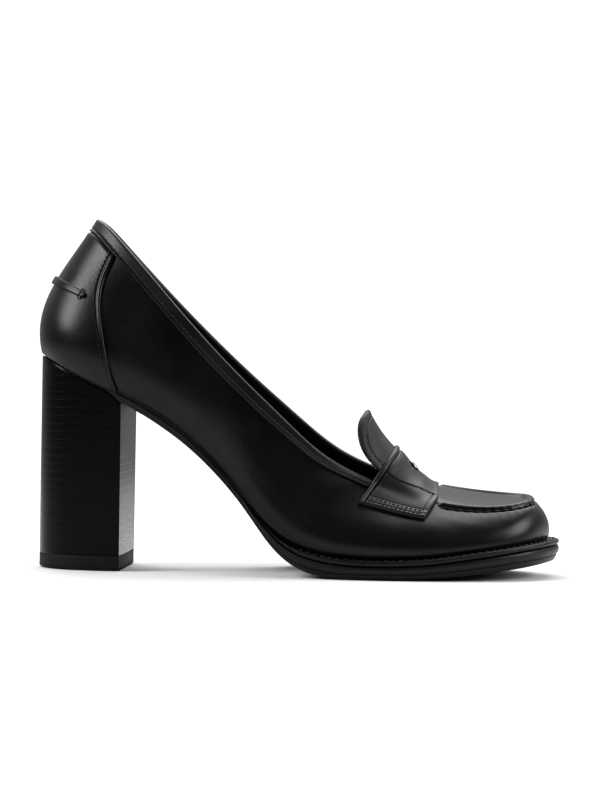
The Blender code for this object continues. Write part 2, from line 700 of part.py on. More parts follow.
def main():
    for old in list(bpy.data.objects):
        bpy.data.objects.remove(old)
    bpy.context.scene.collection.children.link(shoe)
    make_upper()
    make_counter()
    make_collar_band()
    make_heel_strap()
    make_tongue()
    make_saddle()
    make_stud()
    make_insole()
    make_welt()
    make_outsole()
    make_heel_block()
    make_top_lift()


main()
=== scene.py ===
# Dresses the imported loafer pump: leathers, seams, stitches, edges and a plain studio.
# All shape functions work in the shoe's own millimetres: X from the heel's back to the toe, +Y the inner side.
import math

import bpy
import numpy as np
from mathutils import Matrix, Vector


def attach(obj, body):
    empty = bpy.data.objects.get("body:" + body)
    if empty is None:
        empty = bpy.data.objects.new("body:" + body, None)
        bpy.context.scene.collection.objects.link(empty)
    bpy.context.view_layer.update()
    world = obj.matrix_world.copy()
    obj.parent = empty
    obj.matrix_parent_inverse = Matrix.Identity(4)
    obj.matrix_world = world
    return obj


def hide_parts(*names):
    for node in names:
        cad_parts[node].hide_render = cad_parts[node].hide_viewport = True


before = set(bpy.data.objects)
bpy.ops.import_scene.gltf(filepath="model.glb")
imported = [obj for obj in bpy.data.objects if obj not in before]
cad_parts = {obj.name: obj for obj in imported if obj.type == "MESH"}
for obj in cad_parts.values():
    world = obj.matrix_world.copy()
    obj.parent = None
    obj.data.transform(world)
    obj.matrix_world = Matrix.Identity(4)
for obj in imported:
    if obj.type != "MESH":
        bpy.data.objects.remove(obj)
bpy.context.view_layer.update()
print("frame loaded:", len(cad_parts), "nodes")

tau = 2 * math.pi
# where the model's origin lies in the shoe's millimetres, the gap between pieces, the upper's thickness, and how many
# degrees the instep's arc spans to each side
shoe = {"middle": (108.9, -0.75, 0.0), "gap": 0.3, "wall": 1.5, "instepBow": 60}

# Sections of the last from the heel's centre round to the toe's: where the wall starts at the sole, where it ends
# at the collar or the seam, how it leans there, and how far the instep's crown lies forward of and above the sides.
sectionNames = "footX footOut footIn topX topOut topIn topZOut topZIn footLean topLean crownX crownZ".split()
sections = np.array([
    (1.0, 0.0, 0.0, 22.9, 0.0, 0.0, 146.2, 146.2, 14, 30, 0, 0),
    (4.0, 11.8, 11.8, 26.2, 8.2, 8.2, 144.2, 143.8, 18, 24, 0, 0),
    (11.6, 20.0, 19.8, 34.3, 16.0, 15.8, 136.6, 134.9, 26, 15, 0, 0),
    (23.0, 24.0, 23.4, 47.5, 22.0, 21.6, 122.4, 120.4, 34, 10, 0, 0),
    (40.0, 25.0, 23.6, 64.0, 26.2, 25.6, 104.0, 103.3, 38, 6, 0, 0),
    (60.0, 24.4, 21.0, 84.0, 28.8, 28.0, 83.2, 84.2, 42, 8, 0, 0),
    (79.0, 25.4, 20.4, 103.0, 29.8, 28.6, 65.2, 67.6, 42, 14, 0, 0),
    (97.0, 30.2, 24.6, 119.0, 27.6, 26.6, 50.8, 54.6, 36, 26, 0, 0),
    (115.0, 36.2, 31.6, 133.0, 21.8, 21.6, 42.4, 46.6, 30, 40, 9.0, 9.0),
    (134.0, 39.2, 36.4, 147.5, 18.8, 19.2, 35.6, 40.8, 26, 48, 6.2, 7.6),
    (153.0, 39.0, 38.0, 160.0, 20.4, 21.4, 31.0, 36.8, 22, 54, 2.4, 3.6),
    (173.0, 36.2, 36.8, 174.5, 21.4, 23.0, 28.2, 34.2, 18, 58, 0.6, 2.4),
    (190.0, 31.0, 33.2, 189.0, 20.0, 22.4, 27.6, 32.8, 14, 60, 0, 1.5),
    (203.0, 22.4, 26.0, 200.5, 15.4, 18.8, 28.8, 32.2, 12, 60, 0, 0.9),
    (211.5, 9.4, 14.6, 207.6, 6.6, 11.0, 30.4, 31.8, 10, 58, 0, 0.4),
    (214.9, -2.8, 2.8, 208.5, -2.4, 2.4, 30.8, 30.8, 10, 56, 0, 0),
])
# against X: the height of the foot of the wall
featherLine = np.array([
    (-3.0, 91.8), (12.0, 84.6), (25.0, 78.4), (37.0, 73.2), (50.0, 66.2), (62.0, 57.8), (76.0, 44.9), (88.0, 31.8),
    (97.0, 21.8), (105.0, 15.0), (114.0, 10.9), (124.0, 8.7), (137.0, 7.7), (152.0, 7.8), (166.0, 8.7),
    (180.0, 10.6), (195.0, 12.8), (207.0, 14.5), (220.0, 15.8),
])
# against X: the height of the waist's underside, behind the ball
soleUnderside = np.array([
    (37.0, 69.4), (45.7, 65.2), (54.0, 60.0), (62.5, 53.9), (71.0, 46.6), (79.5, 38.1), (88.0, 28.2), (95.0, 18.9),
    (100.0, 12.5), (105.0, 7.6), (111.0, 3.8), (118.0, 1.3), (126.0, 0.0), (136.0, 0.0),
])
# against X: how far the sole stands out from the foot of the wall
soleMargin = np.array([
    (0.0, -0.2), (60.0, -0.6), (85.0, -0.6), (98.0, 0.6), (112.0, 2.6), (130.0, 3.6), (200.0, 3.8), (214.0, 4.4),
])
# against X: the collar band's width
bandWidth = np.array([(22.0, 5.6), (34.0, 6.0), (64.0, 5.4), (100.0, 4.9), (112.0, 4.1), (145.0, 3.9)])
# against height: X of the counter's front edge
counterEdge = np.array([(70.0, 37.0), (84.0, 32.9), (100.0, 29.4), (112.0, 28.0), (120.0, 29.0), (136.0, 36.0)])


def smooth(value, low, high):  # 0 below low, 1 above high, 3t^2 - 2t^3 between
    t = np.clip((np.asarray(value, float) - low) / (high - low), 0, 1)
    return t * t * (3 - 2 * t)


def bump(value, centre, width):  # a round hump of height 1, e^-((v-c)/w)^2
    return np.exp(-(((np.asarray(value, float) - centre) / width) ** 2))


def bendsOf(knots, values, closed):  # second derivatives of the smooth curve through the values
    steps = np.diff(knots)
    n = len(steps) if closed else len(knots)
    matrix, right = np.eye(n) * (not closed), np.zeros(n)
    for i in range(n) if closed else range(1, n - 1):
        before, after = steps[i - 1], steps[i]
        rise = (values[i + 1] - values[i]) / after
        fall = (values[i] - values[i - 1 if i else n - 1]) / before
        matrix[i] = 0
        matrix[i, i - 1] += before
        matrix[i, i] += 2 * (before + after)
        matrix[i, (i + 1) % n] += after
        right[i] = 6 * (rise - fall)
    bends = np.linalg.solve(matrix, right)
    return np.append(bends, bends[0]) if closed else bends


def curveAt(knots, values, bends, at):  # cubic between knots, from values and second derivatives
    k = np.clip(np.searchsorted(knots, at, side="right") - 1, 0, len(knots) - 2)
    step = knots[k + 1] - knots[k]
    b = (at - knots[k]) / step
    a = 1 - b
    return a * values[k] + b * values[k + 1] + ((a**3 - a) * bends[k] + (b**3 - b) * bends[k + 1]) * step**2 / 6


def through(table, at):  # the smooth curve through a table's two columns
    return curveAt(table[:, 0], table[:, 1], bendsOf(table[:, 0], table[:, 1], False), np.asarray(at, float))


def runAlong(points, axis=0):  # distance travelled along a line of points, or along one axis of a grid
    return np.insert(np.cumsum(np.linalg.norm(np.diff(points, axis=axis), axis=-1), axis), 0, 0, axis)


def roundShoe(outer, inner):  # outer side from heel to toe, then the inner side back
    return np.concatenate([outer, inner[-2::-1]])


# girth is the way round the shoe at the foot: 0 at the heel, along the outer side to the toe and back
section = {name: sections[:, i] for i, name in enumerate(sectionNames)}
sideSteps = np.hypot(np.diff(section["footX"]), np.diff((section["footOut"] + section["footIn"]) / 2))
knots = np.concatenate([[0], np.cumsum(np.concatenate([sideSteps, sideSteps[::-1]]))])
girthEnd, toeGirth = knots[-1], knots[-1] / 2
bothSides = {name: (section[name], section[name]) for name in "footX topX footLean topLean crownX crownZ".split()}
bothSides["footY"] = -section["footOut"], section["footIn"]
bothSides["topY"] = -section["topOut"], section["topIn"]
bothSides["topZ"] = section["topZOut"], section["topZIn"]
loops = {}
for name, sides in bothSides.items():
    ring = roundShoe(*sides)
    loops[name] = (ring, bendsOf(knots, ring, True))


def ringValue(name, girth):  # one of the sections' measures at a girth, smooth all round
    return curveAt(knots, *loops[name], np.mod(girth, girthEnd))


def unit(vectors):  # the vector over its length
    return vectors / np.maximum(np.linalg.norm(vectors, axis=-1, keepdims=True), 1e-9)


def footPlan(girth, margin=0.0):  # the foot of the wall in plan, moved outwards, and the direction outwards
    def place(at):
        return np.stack([ringValue("footX", at), ringValue("footY", at)], -1)

    along = unit(place(girth + 0.05) - place(girth - 0.05))
    outwards = np.stack([along[..., 1], -along[..., 0]], -1)
    return place(girth) + outwards * np.broadcast_to(margin, girth.shape)[..., None], outwards


def topLine(girth):  # where the wall ends above, at the collar or the seam
    return np.stack([ringValue(k, girth) for k in ("topX", "topY", "topZ")], -1)


wallCurve = {"handle": 0.38, "steps": 40}  # the cubic's handles as a share of its chord, and pieces to measure it by


def wallAt(girth, share):
    # a cubic from foot to top in the plane of the outward direction, leaning as the sections say, at a share of its
    # own length
    girth, share = np.broadcast_arrays(np.asarray(girth, float), np.asarray(share, float))
    g, s = girth.ravel(), np.clip(share.ravel(), 0, 1)
    unique, back = np.unique(g, return_inverse=True)
    plan, out = footPlan(unique)
    foot = np.column_stack([plan, through(featherLine, plan[:, 0])])
    top = topLine(unique)
    out = np.column_stack([out, np.zeros(len(unique))])
    chord = top - foot
    up = unit(chord - np.sum(chord * out, -1, keepdims=True) * out)
    handle = wallCurve["handle"] * np.linalg.norm(chord, axis=-1, keepdims=True)
    low, high = (np.radians(ringValue(k, unique))[:, None] for k in ("footLean", "topLean"))
    second = foot + handle * (np.cos(low) * up + np.sin(low) * out)
    third = top - handle * (np.cos(high) * up - np.sin(high) * out)
    steps = wallCurve["steps"]

    def cubic(t, rows):  # the four points weighed by (1 - t)^3, 3t(1 - t)^2, 3t^2(1 - t) and t^3
        return (foot[rows] * (1 - t) ** 3 + 3 * second[rows] * t * (1 - t) ** 2
                + 3 * third[rows] * t**2 * (1 - t) + top[rows] * t**3)

    length = runAlong(cubic(np.linspace(0, 1, steps + 1)[None, :, None], (slice(None), None)), 1)
    length /= length[:, -1:]
    mine = length[back]
    k = np.clip(np.sum(mine <= s[:, None], 1) - 1, 0, steps - 1)
    here, there = (np.take_along_axis(mine, k[:, None] + after, 1)[:, 0] for after in (0, 1))
    at = (k + (s - here) / np.maximum(there - here, 1e-9)) / steps
    return cubic(at[:, None], back).reshape(*girth.shape, 3)


def wallHeight(girth):  # length of the wall along the leather
    g = np.atleast_1d(np.asarray(girth, float)).ravel()
    line = wallAt(g[:, None], np.linspace(0, 1, 25)[None])
    return np.linalg.norm(np.diff(line, axis=1), axis=2).sum(1).reshape(np.shape(girth))


def bowed(outer, inner, crown, across):  # an arc from outer to inner, raised by the crown in its middle
    bow = math.radians(shoe["instepBow"])
    a = np.asarray(across, float)[..., None]
    sideways, lift = np.sin(bow * a) / math.sin(bow), (np.cos(bow * a) - math.cos(bow)) / (1 - math.cos(bow))
    return (outer + inner) / 2 + (inner - outer) / 2 * sideways + crown * lift


def instepAt(girth, across):  # over the foot from the outer top line, across -1, to the inner one, across 1
    girth, across = np.broadcast_arrays(np.asarray(girth, float), np.asarray(across, float))
    crown = np.stack([ringValue("crownX", girth), girth * 0, ringValue("crownZ", girth)], -1)
    return bowed(topLine(girth), topLine(girthEnd - girth), crown, across)


def normalOf(surface, a, b, stepA, stepB):  # cross of the two slopes, by central differences
    along = surface(a + stepA, b) - surface(a - stepA, b)
    return unit(np.cross(along, surface(a, b + stepB) - surface(a, b - stepB)))


def gridNormals(points, closed=False):  # normals of a grid, from the slopes of its rows and columns
    if closed:
        rows = np.roll(points, -1, 0) - np.roll(points, 1, 0)
    else:
        rows = np.gradient(points, axis=0)
    return unit(np.cross(rows, np.gradient(points, axis=1)))


fineGirth = np.linspace(0, toeGirth, 700)
fineTopX, fineFootX = topLine(fineGirth)[:, 0], footPlan(fineGirth)[0][:, 0]


def girthAtTop(x):  # girth on the outer side whose top line is at X
    return float(np.interp(x, fineTopX, fineGirth))


def girthAtFoot(x):  # girth on the outer side whose foot is at X
    return float(np.interp(x, fineFootX, fineGirth))


allGirths = np.linspace(0, girthEnd, 1600)
heightTable = wallHeight(allGirths)
topRun = runAlong(topLine(allGirths))


def heightAt(girth):  # the wall's length, read from the table of it
    return np.interp(np.mod(girth, girthEnd), allGirths, heightTable)


def bandAt(girth):  # the collar band's width
    return np.interp(ringValue("topX", girth), bandWidth[:, 0], bandWidth[:, 1])


def featherZ(x):  # height of the foot of the wall
    return through(featherLine, x)


def marginAt(girth):  # how far the sole stands out
    return np.interp(footPlan(girth)[0][..., 0], soleMargin[:, 0], soleMargin[:, 1])


def wallNormal(girth, share):  # outwards from the wall, for lines of stitches
    return normalOf(wallAt, girth, share, 0.4, 0.01)


def sheetFaces(rows, columns, closedRows=False, closedColumns=False):  # four corners of each cell of a grid
    i, j = np.meshgrid(np.arange(rows - (not closedRows)), np.arange(columns - (not closedColumns)), indexing="ij")
    i, j = i.ravel(), j.ravel()
    k, m = (i + 1) % rows, (j + 1) % columns
    return np.stack([i * columns + j, k * columns + j, k * columns + m, i * columns + m], -1)


def meshPiece(name, points, faces, material, nodes=(), crisp=50):
    # millimetres in, an object on the body out; edges that turn more than crisp degrees stay sharp
    mesh = bpy.data.meshes.new(name)
    place = (np.asarray(points, float).reshape(-1, 3) - shoe["middle"]) * 0.001
    faces = np.asarray(faces)
    mesh.vertices.add(len(place))
    mesh.vertices.foreach_set("co", place.astype(np.float32).ravel())
    mesh.loops.add(faces.size)
    mesh.loops.foreach_set("vertex_index", faces.astype(np.int32).ravel())
    mesh.polygons.add(len(faces))
    mesh.polygons.foreach_set("loop_start", np.arange(len(faces), dtype=np.int32) * faces.shape[1])
    mesh.update(calc_edges=True)
    mesh.validate()
    mesh.shade_smooth()
    if crisp:
        mesh.set_sharp_from_angle(angle=math.radians(crisp))
    mesh.materials.append(material)
    piece = bpy.data.objects.new(name, mesh)
    bpy.context.scene.collection.objects.link(piece)
    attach(piece, "root")
    if nodes:
        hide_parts(*nodes)
    return piece


def closedSheet(name, outer, inner, material, nodes=()):  # two faces of a sheet, joined round its edge
    rows, columns = outer.shape[:2]
    n = rows * columns
    ring = np.concatenate([
        np.arange(columns), np.arange(1, rows) * columns + columns - 1,
        (rows - 1) * columns + np.arange(columns - 2, -1, -1), np.arange(rows - 2, 0, -1) * columns,
    ])
    after = np.roll(ring, -1)
    faces = np.concatenate([
        sheetFaces(rows, columns), sheetFaces(rows, columns)[:, ::-1] + n,
        np.stack([after, ring, ring + n, after + n], -1)[:, ::-1],
    ])
    return meshPiece(name, np.concatenate([outer.reshape(-1, 3), inner.reshape(-1, 3)]), faces, material, nodes)


def loft(name, sectionsRound, material, closed, nodes=()):  # closed sections carried along a path
    rows, columns = sectionsRound.shape[:2]
    faces = sheetFaces(rows, columns, closed, True)
    points = sectionsRound.reshape(-1, 3)
    if not closed:
        caps = []
        for row, flip in ((0, False), (rows - 1, True)):
            middle = len(points)
            points = np.concatenate([points, sectionsRound[row].mean(0)[None]])
            j = row * columns + np.arange(columns)
            k = row * columns + (np.arange(columns) + 1) % columns
            caps.append(np.stack([k, j, np.full(columns, middle)] if flip else [j, k, np.full(columns, middle)], -1))
        return mixedPiece(name, points, faces, np.concatenate(caps), material, nodes)
    return meshPiece(name, points, faces, material, nodes)


def mixedPiece(name, points, quads, triangles, material, nodes=()):  # quads and triangles in one mesh
    quads = np.concatenate([quads[:, [0, 1, 2]], quads[:, [0, 2, 3]]])
    return meshPiece(name, points, np.concatenate([quads, triangles]), material, nodes)


def stackedLoops(name, levels, material, nodes=()):  # loops one over another, capped by pairing sides
    count, half = levels.shape[1], levels.shape[1] // 2
    quads, triangles = [sheetFaces(len(levels), count, False, True)[:, ::-1]], []
    j = np.arange(1, half - 1)
    for level, way in ((0, -1), (len(levels) - 1, 1)):
        cap = np.stack([j, j + 1, (count - j - 1) % count, (count - j) % count], -1)
        ends = np.array([(0, 1, count - 1), (half - 1, half, half + 1)])
        quads.append(level * count + cap[:, ::way])
        triangles.append(level * count + ends[:, ::way])
    return mixedPiece(name, levels.reshape(-1, 3), np.concatenate(quads), np.concatenate(triangles), material, nodes)


def roundedEdge(distance, radius):  # quarter circle: 0 at the edge, 1 from the radius inwards
    t = np.clip(distance / radius, 0, 1)
    return np.sqrt(1 - (1 - t) ** 2)


def onRun(at, run, values):  # three values of a line's points, read at distances along it
    return np.stack([np.interp(at, run, values[:, i]) for i in range(3)], -1)


def sew(name, slot, paths, spacing, length, radius, arch, turn=0.0):
    # even stitches along the paths, each one low arch of thread: a tube along t with height arch*(1 - t^2) and round
    # ends, turned from its path by an angle in radians
    rings, around = 5, 6
    t = np.linspace(-1, 1, rings)
    spin = np.arange(around) * tau / around
    size = np.array([0.35, 0.92, 1.0, 0.92, 0.35]) * radius
    allPoints, allFaces = [], []
    template = sheetFaces(rings, around, False, True)
    first = 0
    for path, normals in paths:
        run = runAlong(path)
        count = max(1, int(run[-1] / spacing))
        at = (np.arange(count) + 0.5) * run[-1] / count
        point, up = onRun(at, run, path), unit(onRun(at, run, normals))
        along = unit(onRun(at + 0.1, run, path) - onRun(at - 0.1, run, path))
        side = unit(np.cross(up, along))
        along = unit(np.cross(side, up))
        along = along * math.cos(turn) + side * math.sin(turn)
        side = unit(np.cross(up, along))
        centre = point[:, None] + along[:, None] * (t * length / 2)[None, :, None]
        centre = centre + up[:, None] * (arch * (1 - t**2))[None, :, None]
        outwards = np.cos(spin)[:, None] * side[:, None, None] + np.sin(spin)[:, None] * up[:, None, None]
        ringPoints = centre[:, :, None] + size[None, :, None, None] * outwards
        tips = np.stack([point - along * length * 0.53, point + along * length * 0.53], 1)
        block = np.concatenate([ringPoints.reshape(count, -1, 3), tips], 1)
        per = block.shape[1]
        base = first + np.arange(count)[:, None, None] * per
        quads = (template[None] + base).reshape(-1, 4)
        j, k = np.arange(around), (np.arange(around) + 1) % around
        startCap = np.stack([j, k, np.full(around, per - 2)], -1)
        endCap = np.stack([k + (rings - 1) * around, j + (rings - 1) * around, np.full(around, per - 1)], -1)
        caps = (np.concatenate([startCap, endCap])[None] + base).reshape(-1, 3)
        allPoints.append(block.reshape(-1, 3))
        allFaces.append(np.concatenate([quads[:, [0, 1, 2]], quads[:, [0, 2, 3]], caps]))
        first += count * per
    meshPiece(name, np.concatenate(allPoints), np.concatenate(allFaces)[:, ::-1], thread, (), None)


def linear(hexColour):  # sRGB hex to linear red, green, blue
    srgb = np.array([int(hexColour[i : i + 2], 16) for i in (1, 3, 5)]) / 255
    return (*np.where(srgb <= 0.04045, srgb / 12.92, ((srgb + 0.055) / 1.055) ** 2.4), 1.0)


def addNode(tree, kind, settings=(), links=()):  # one node, its settings by name, and what feeds its inputs
    node = tree.nodes.new(kind)
    for name, value in dict(settings).items():
        if isinstance(name, str) and hasattr(node, name) and name not in node.inputs:
            setattr(node, name, value)
        else:
            node.inputs[name].default_value = value
    for name, source in dict(links).items():
        tree.links.new(source, node.inputs[name])
    return node


def newMaterial(name):  # an empty material, its node tree, and the place on the piece that patterns follow
    material = bpy.data.materials.new(name)
    material.use_nodes = True
    material.node_tree.nodes.clear()
    return material, material.node_tree, addNode(material.node_tree, "ShaderNodeTexCoord").outputs["Object"]


def finishMaterial(tree, settings, links):  # the Principled shader with what is the same all over and what varies
    shader = addNode(tree, "ShaderNodeBsdfPrincipled", settings, links)
    addNode(tree, "ShaderNodeOutputMaterial", {}, {"Surface": shader.outputs["BSDF"]})


def perMetre(millimetres):  # noise scale whose features are about this size
    return 1000 / millimetres


def leather(name, look):
    # Chrome-tanned calf: a tight pore grain under a thin pigment coat, so the eye gets soft, slightly broken glints.
    # Cloud, grain, fold, worn and speck are sizes in millimetres. Real pores are about 0.15 mm apart, too fine to
    # show, so the grain is drawn coarser. Sockets 6 and 7 of a colour Mix are its two colours
    material, tree, place = newMaterial(name)
    noise = {}
    for part, size, detail, roughness in (
        ("cloud", look["cloud"], 3.0, 0.5), ("worn", look["worn"], 3.0, 0.6), ("speck", look["speck"], 2.0, 0.7),
        ("pores", look["grain"] * 0.6, 2.0, 0.5), ("fold", look["fold"], 2.0, 0.5),
    ):
        settings = {"Scale": perMetre(size), "Detail": detail, "Roughness": roughness}
        noise[part] = addNode(tree, "ShaderNodeTexNoise", settings, {"Vector": place}).outputs["Fac"]
    cells = addNode(tree, "ShaderNodeTexVoronoi", {"Scale": perMetre(look["grain"]), "Randomness": 0.9},
                    {"Vector": place})
    # colour: two near blacks in clouds, and grey specks where the coat is rubbed
    tone = addNode(tree, "ShaderNodeMapRange", {"From Min": 0.3, "From Max": 0.7}, {"Value": noise["cloud"]})
    tint = addNode(tree, "ShaderNodeMix", {"data_type": "RGBA", 6: linear(look["deep"]), 7: linear(look["pale"])},
                   {0: tone.outputs["Result"]})
    where = addNode(tree, "ShaderNodeMapRange", {"From Min": 0.5, "From Max": 0.68, "To Max": look["scuff"]},
                    {"Value": noise["worn"]})
    dots = addNode(tree, "ShaderNodeMapRange", {"From Min": 0.52, "From Max": 0.64}, {"Value": noise["speck"]})
    scuffed = addNode(tree, "ShaderNodeMath", {"operation": "MULTIPLY"},
                      {0: where.outputs["Result"], 1: dots.outputs["Result"]})
    tint = addNode(tree, "ShaderNodeMix", {"data_type": "RGBA", 7: linear(look["rubbed"])},
                   {0: scuffed.outputs["Value"], 6: tint.outputs[2]})
    rough = addNode(tree, "ShaderNodeMapRange", {"From Min": 0.3, "From Max": 0.7, "To Min": look["roughness"] - 0.05,
                    "To Max": look["roughness"] + 0.06}, {"Value": noise["cloud"]})
    # relief: folds, then the grain's cells, then its pores
    normal = {}
    for strength, depth, height in (
        (look["foldStrength"], 0.001, noise["fold"]), (look["grainStrength"], 0.0002, cells.outputs["Distance"]),
        (look["grainStrength"] * 0.6, 0.0001, noise["pores"]),
    ):
        links = {"Height": height} | normal
        relief = addNode(tree, "ShaderNodeBump", {"Strength": strength, "Distance": depth}, links)
        normal = {"Normal": relief.outputs["Normal"]}
    finishMaterial(tree, {"IOR": look["ior"], "Coat Weight": look["coat"], "Coat Roughness": look["coatRoughness"],
                          "Specular IOR Level": look["specular"]},
                   {"Base Color": tint.outputs[2], "Roughness": rough.outputs["Result"]} | normal)
    return material


calfLook = {"deep": "#060607", "pale": "#0d0d0e", "cloud": 22.0, "grain": 0.4, "fold": 7.0, "foldStrength": 0.018,
            "grainStrength": 0.14, "roughness": 0.31, "ior": 1.45, "specular": 0.3, "coat": 0.06,
            "coatRoughness": 0.28, "worn": 16.0, "speck": 0.6, "scuff": 0.65, "rubbed": "#2b2b2c"}
calf = leather("blackCalf", calfLook)
# the trim is the same calf with a matter finish, and a paler base colour that is painted light: it brightens the
# tongue, saddle and collar as the light they catch would
matteCalfWithPaintedLight = leather("blackCalfMatteWithPaintedLight", calfLook | {"deep": "#0d0d0e", "pale": "#161617", "roughness": 0.4,
                   "specular": 0.42})
# bare lining leather: matt, with its grain open
liningLeather = leather("liningLeather", calfLook | {"deep": "#0b0a0a", "pale": "#141313", "roughness": 0.62,
                        "coat": 0.0, "grainStrength": 0.35, "scuff": 0.2})
# cut edges under ink and wax: duller, with coarser fibres
edgePaint = leather("dressedLeatherEdge", calfLook | {"deep": "#0a0a0a", "pale": "#121112", "grain": 0.8,
                    "roughness": 0.42, "grainStrength": 0.12, "coat": 0.1})
# moulded rubber: even and dull, with a fine texture from its mould and no folds
liftRubber = leather("mouldedHeelRubber", calfLook | {"deep": "#0c0c0c", "pale": "#111111", "grain": 0.3,
                     "roughness": 0.6, "coat": 0.0, "grainStrength": 0.15, "foldStrength": 0.0})


def waxedThread(name, look):
    # Waxed polyester thread: twisted plies, a ply apart in millimetres, that catch a small glint each
    material, tree, place = newMaterial(name)
    plies = addNode(tree, "ShaderNodeTexNoise", {"Scale": perMetre(look["ply"]), "Detail": 1.0}, {"Vector": place})
    relief = addNode(tree, "ShaderNodeBump", {"Strength": 0.4, "Distance": 0.0001}, {"Height": plies.outputs["Fac"]})
    finishMaterial(tree, {"Base Color": linear(look["colour"]), "Roughness": look["roughness"]},
                   {"Normal": relief.outputs["Normal"]})
    return material


thread = waxedThread("blackWaxedThread", {"ply": 0.25, "colour": "#1a1a1b", "roughness": 0.5})


def stackedLeather(name, look):
    # Stacked heel leather, stained and burnished: faint level lines where the layers meet, over a smooth gloss.
    # The wave repeats 20 / tau times a metre at scale 1, and here once a layer
    material, tree, place = newMaterial(name)
    wave = addNode(tree, "ShaderNodeTexWave", {"wave_type": "BANDS", "bands_direction": "Z", "wave_profile": "SAW",
                   "Scale": 1000 / look["layer"] * tau / 20, "Distortion": 0.0}, {"Vector": place})
    line = addNode(tree, "ShaderNodeMapRange", {"From Max": 0.08}, {"Value": wave.outputs["Fac"]})
    stretch = addNode(tree, "ShaderNodeMapping", {"Scale": (0.12, 0.12, 1.0)}, {"Vector": place})
    fibre = addNode(tree, "ShaderNodeTexNoise", {"Scale": perMetre(look["fibre"]), "Detail": 3.0},
                    {"Vector": stretch.outputs["Vector"]})
    rough = addNode(tree, "ShaderNodeMapRange", {"From Min": 0.3, "From Max": 0.7, "To Min": look["roughness"] - 0.03,
                    "To Max": look["roughness"] + 0.04}, {"Value": fibre.outputs["Fac"]})
    layers = addNode(tree, "ShaderNodeBump", {"Strength": 0.3, "Distance": 0.00006},
                     {"Height": line.outputs["Result"]})
    relief = addNode(tree, "ShaderNodeBump", {"Strength": 0.07, "Distance": 0.0002},
                     {"Height": fibre.outputs["Fac"], "Normal": layers.outputs["Normal"]})
    finishMaterial(tree, {"Base Color": linear(look["colour"]), "IOR": 1.45, "Specular IOR Level": look["specular"]},
                   {"Roughness": rough.outputs["Result"], "Normal": relief.outputs["Normal"]})
    return material


heelLeather = stackedLeather("stackedHeelLeather", {"layer": 3.35, "fibre": 0.5, "colour": "#060606",
                             "roughness": 0.26, "specular": 0.16})


def platedMetal(name, look):
    # White metal plate over brass, tumbled: bright, faintly uneven
    material, tree, place = newMaterial(name)
    haze = addNode(tree, "ShaderNodeTexNoise", {"Scale": perMetre(look["haze"]), "Detail": 2.0}, {"Vector": place})
    rough = addNode(tree, "ShaderNodeMapRange", {"To Min": 0.18, "To Max": 0.34}, {"Value": haze.outputs["Fac"]})
    finishMaterial(tree, {"Base Color": linear(look["colour"]), "Metallic": 1.0},
                   {"Roughness": rough.outputs["Result"]})
    return material


palePlate = platedMetal("whiteMetalPlate", {"haze": 1.5, "colour": "#c9c8c5"})
print("materials made")


upperLook = {"columns": 820, "levels": 60, "innerLevels": 18, "puckerEvery": 3.8, "pucker": 0.2, "seamFrom": 168.6,
             "turnedIn": ((2.1, 0.3), (2.4, 0.05), (2.4, -0.15), (0.6, -0.15))}  # inset, and height over the foot
# soft dents and ridges: place round the shoe by length, side, share of height, size along and up, depth
creases = [
    (96, -1, 0.34, 16, 3.0, 0.22), (104, -1, 0.42, 14, 2.6, -0.14), (88, 1, 0.36, 16, 3.0, 0.22),
    (112, -1, 0.22, 18, 3.4, 0.16), (120, 1, 0.3, 16, 3.2, 0.18), (52, -1, 0.45, 18, 5.0, 0.14),
    (50, 1, 0.42, 18, 5.0, 0.14), (186, -1, 0.4, 14, 3.5, 0.1), (186, 1, 0.38, 14, 3.5, 0.1),
    (30, -1, 0.3, 12, 5.0, 0.12),
]


def upperRelief(girth, share):
    # what the leather does over the last's plain shape, in millimetres outwards: puckers below the moccasin seam as a
    # cosine along it that dies away downwards, the seam's and the featherline's grooves, the creases and a slow swell
    height = heightAt(girth)
    fromTop, fromFoot = (1 - share) * height, share * height
    seam = smooth(ringValue("topX", girth), upperLook["seamFrom"], upperLook["seamFrom"] + 3)
    run = np.interp(np.mod(girth, girthEnd), allGirths, topRun)
    wave = 0.5 + 0.5 * np.cos(tau * run / upperLook["puckerEvery"])
    relief = -upperLook["pucker"] * wave * np.exp(-fromTop / 2.6) * seam
    relief = relief - 0.75 * bump(fromTop, 0.0, 0.9) * seam
    relief = relief - 0.45 * np.exp(-fromFoot / 1.0)
    side = np.where(np.mod(girth, girthEnd) < toeGirth, -1, 1)
    length = ringValue("footX", girth)
    for x, which, at, wide, tall, depth in creases:
        relief = relief - depth * bump(length, x, wide) * bump(share * height, at * height, tall) * (side == which)
    swell = 0.05 * np.sin(length * 0.21 + share * 5) * np.sin(share * 11 + length * 0.07)
    return relief + swell * smooth(fromFoot, 3, 10) * smooth(fromTop, 3, 10)


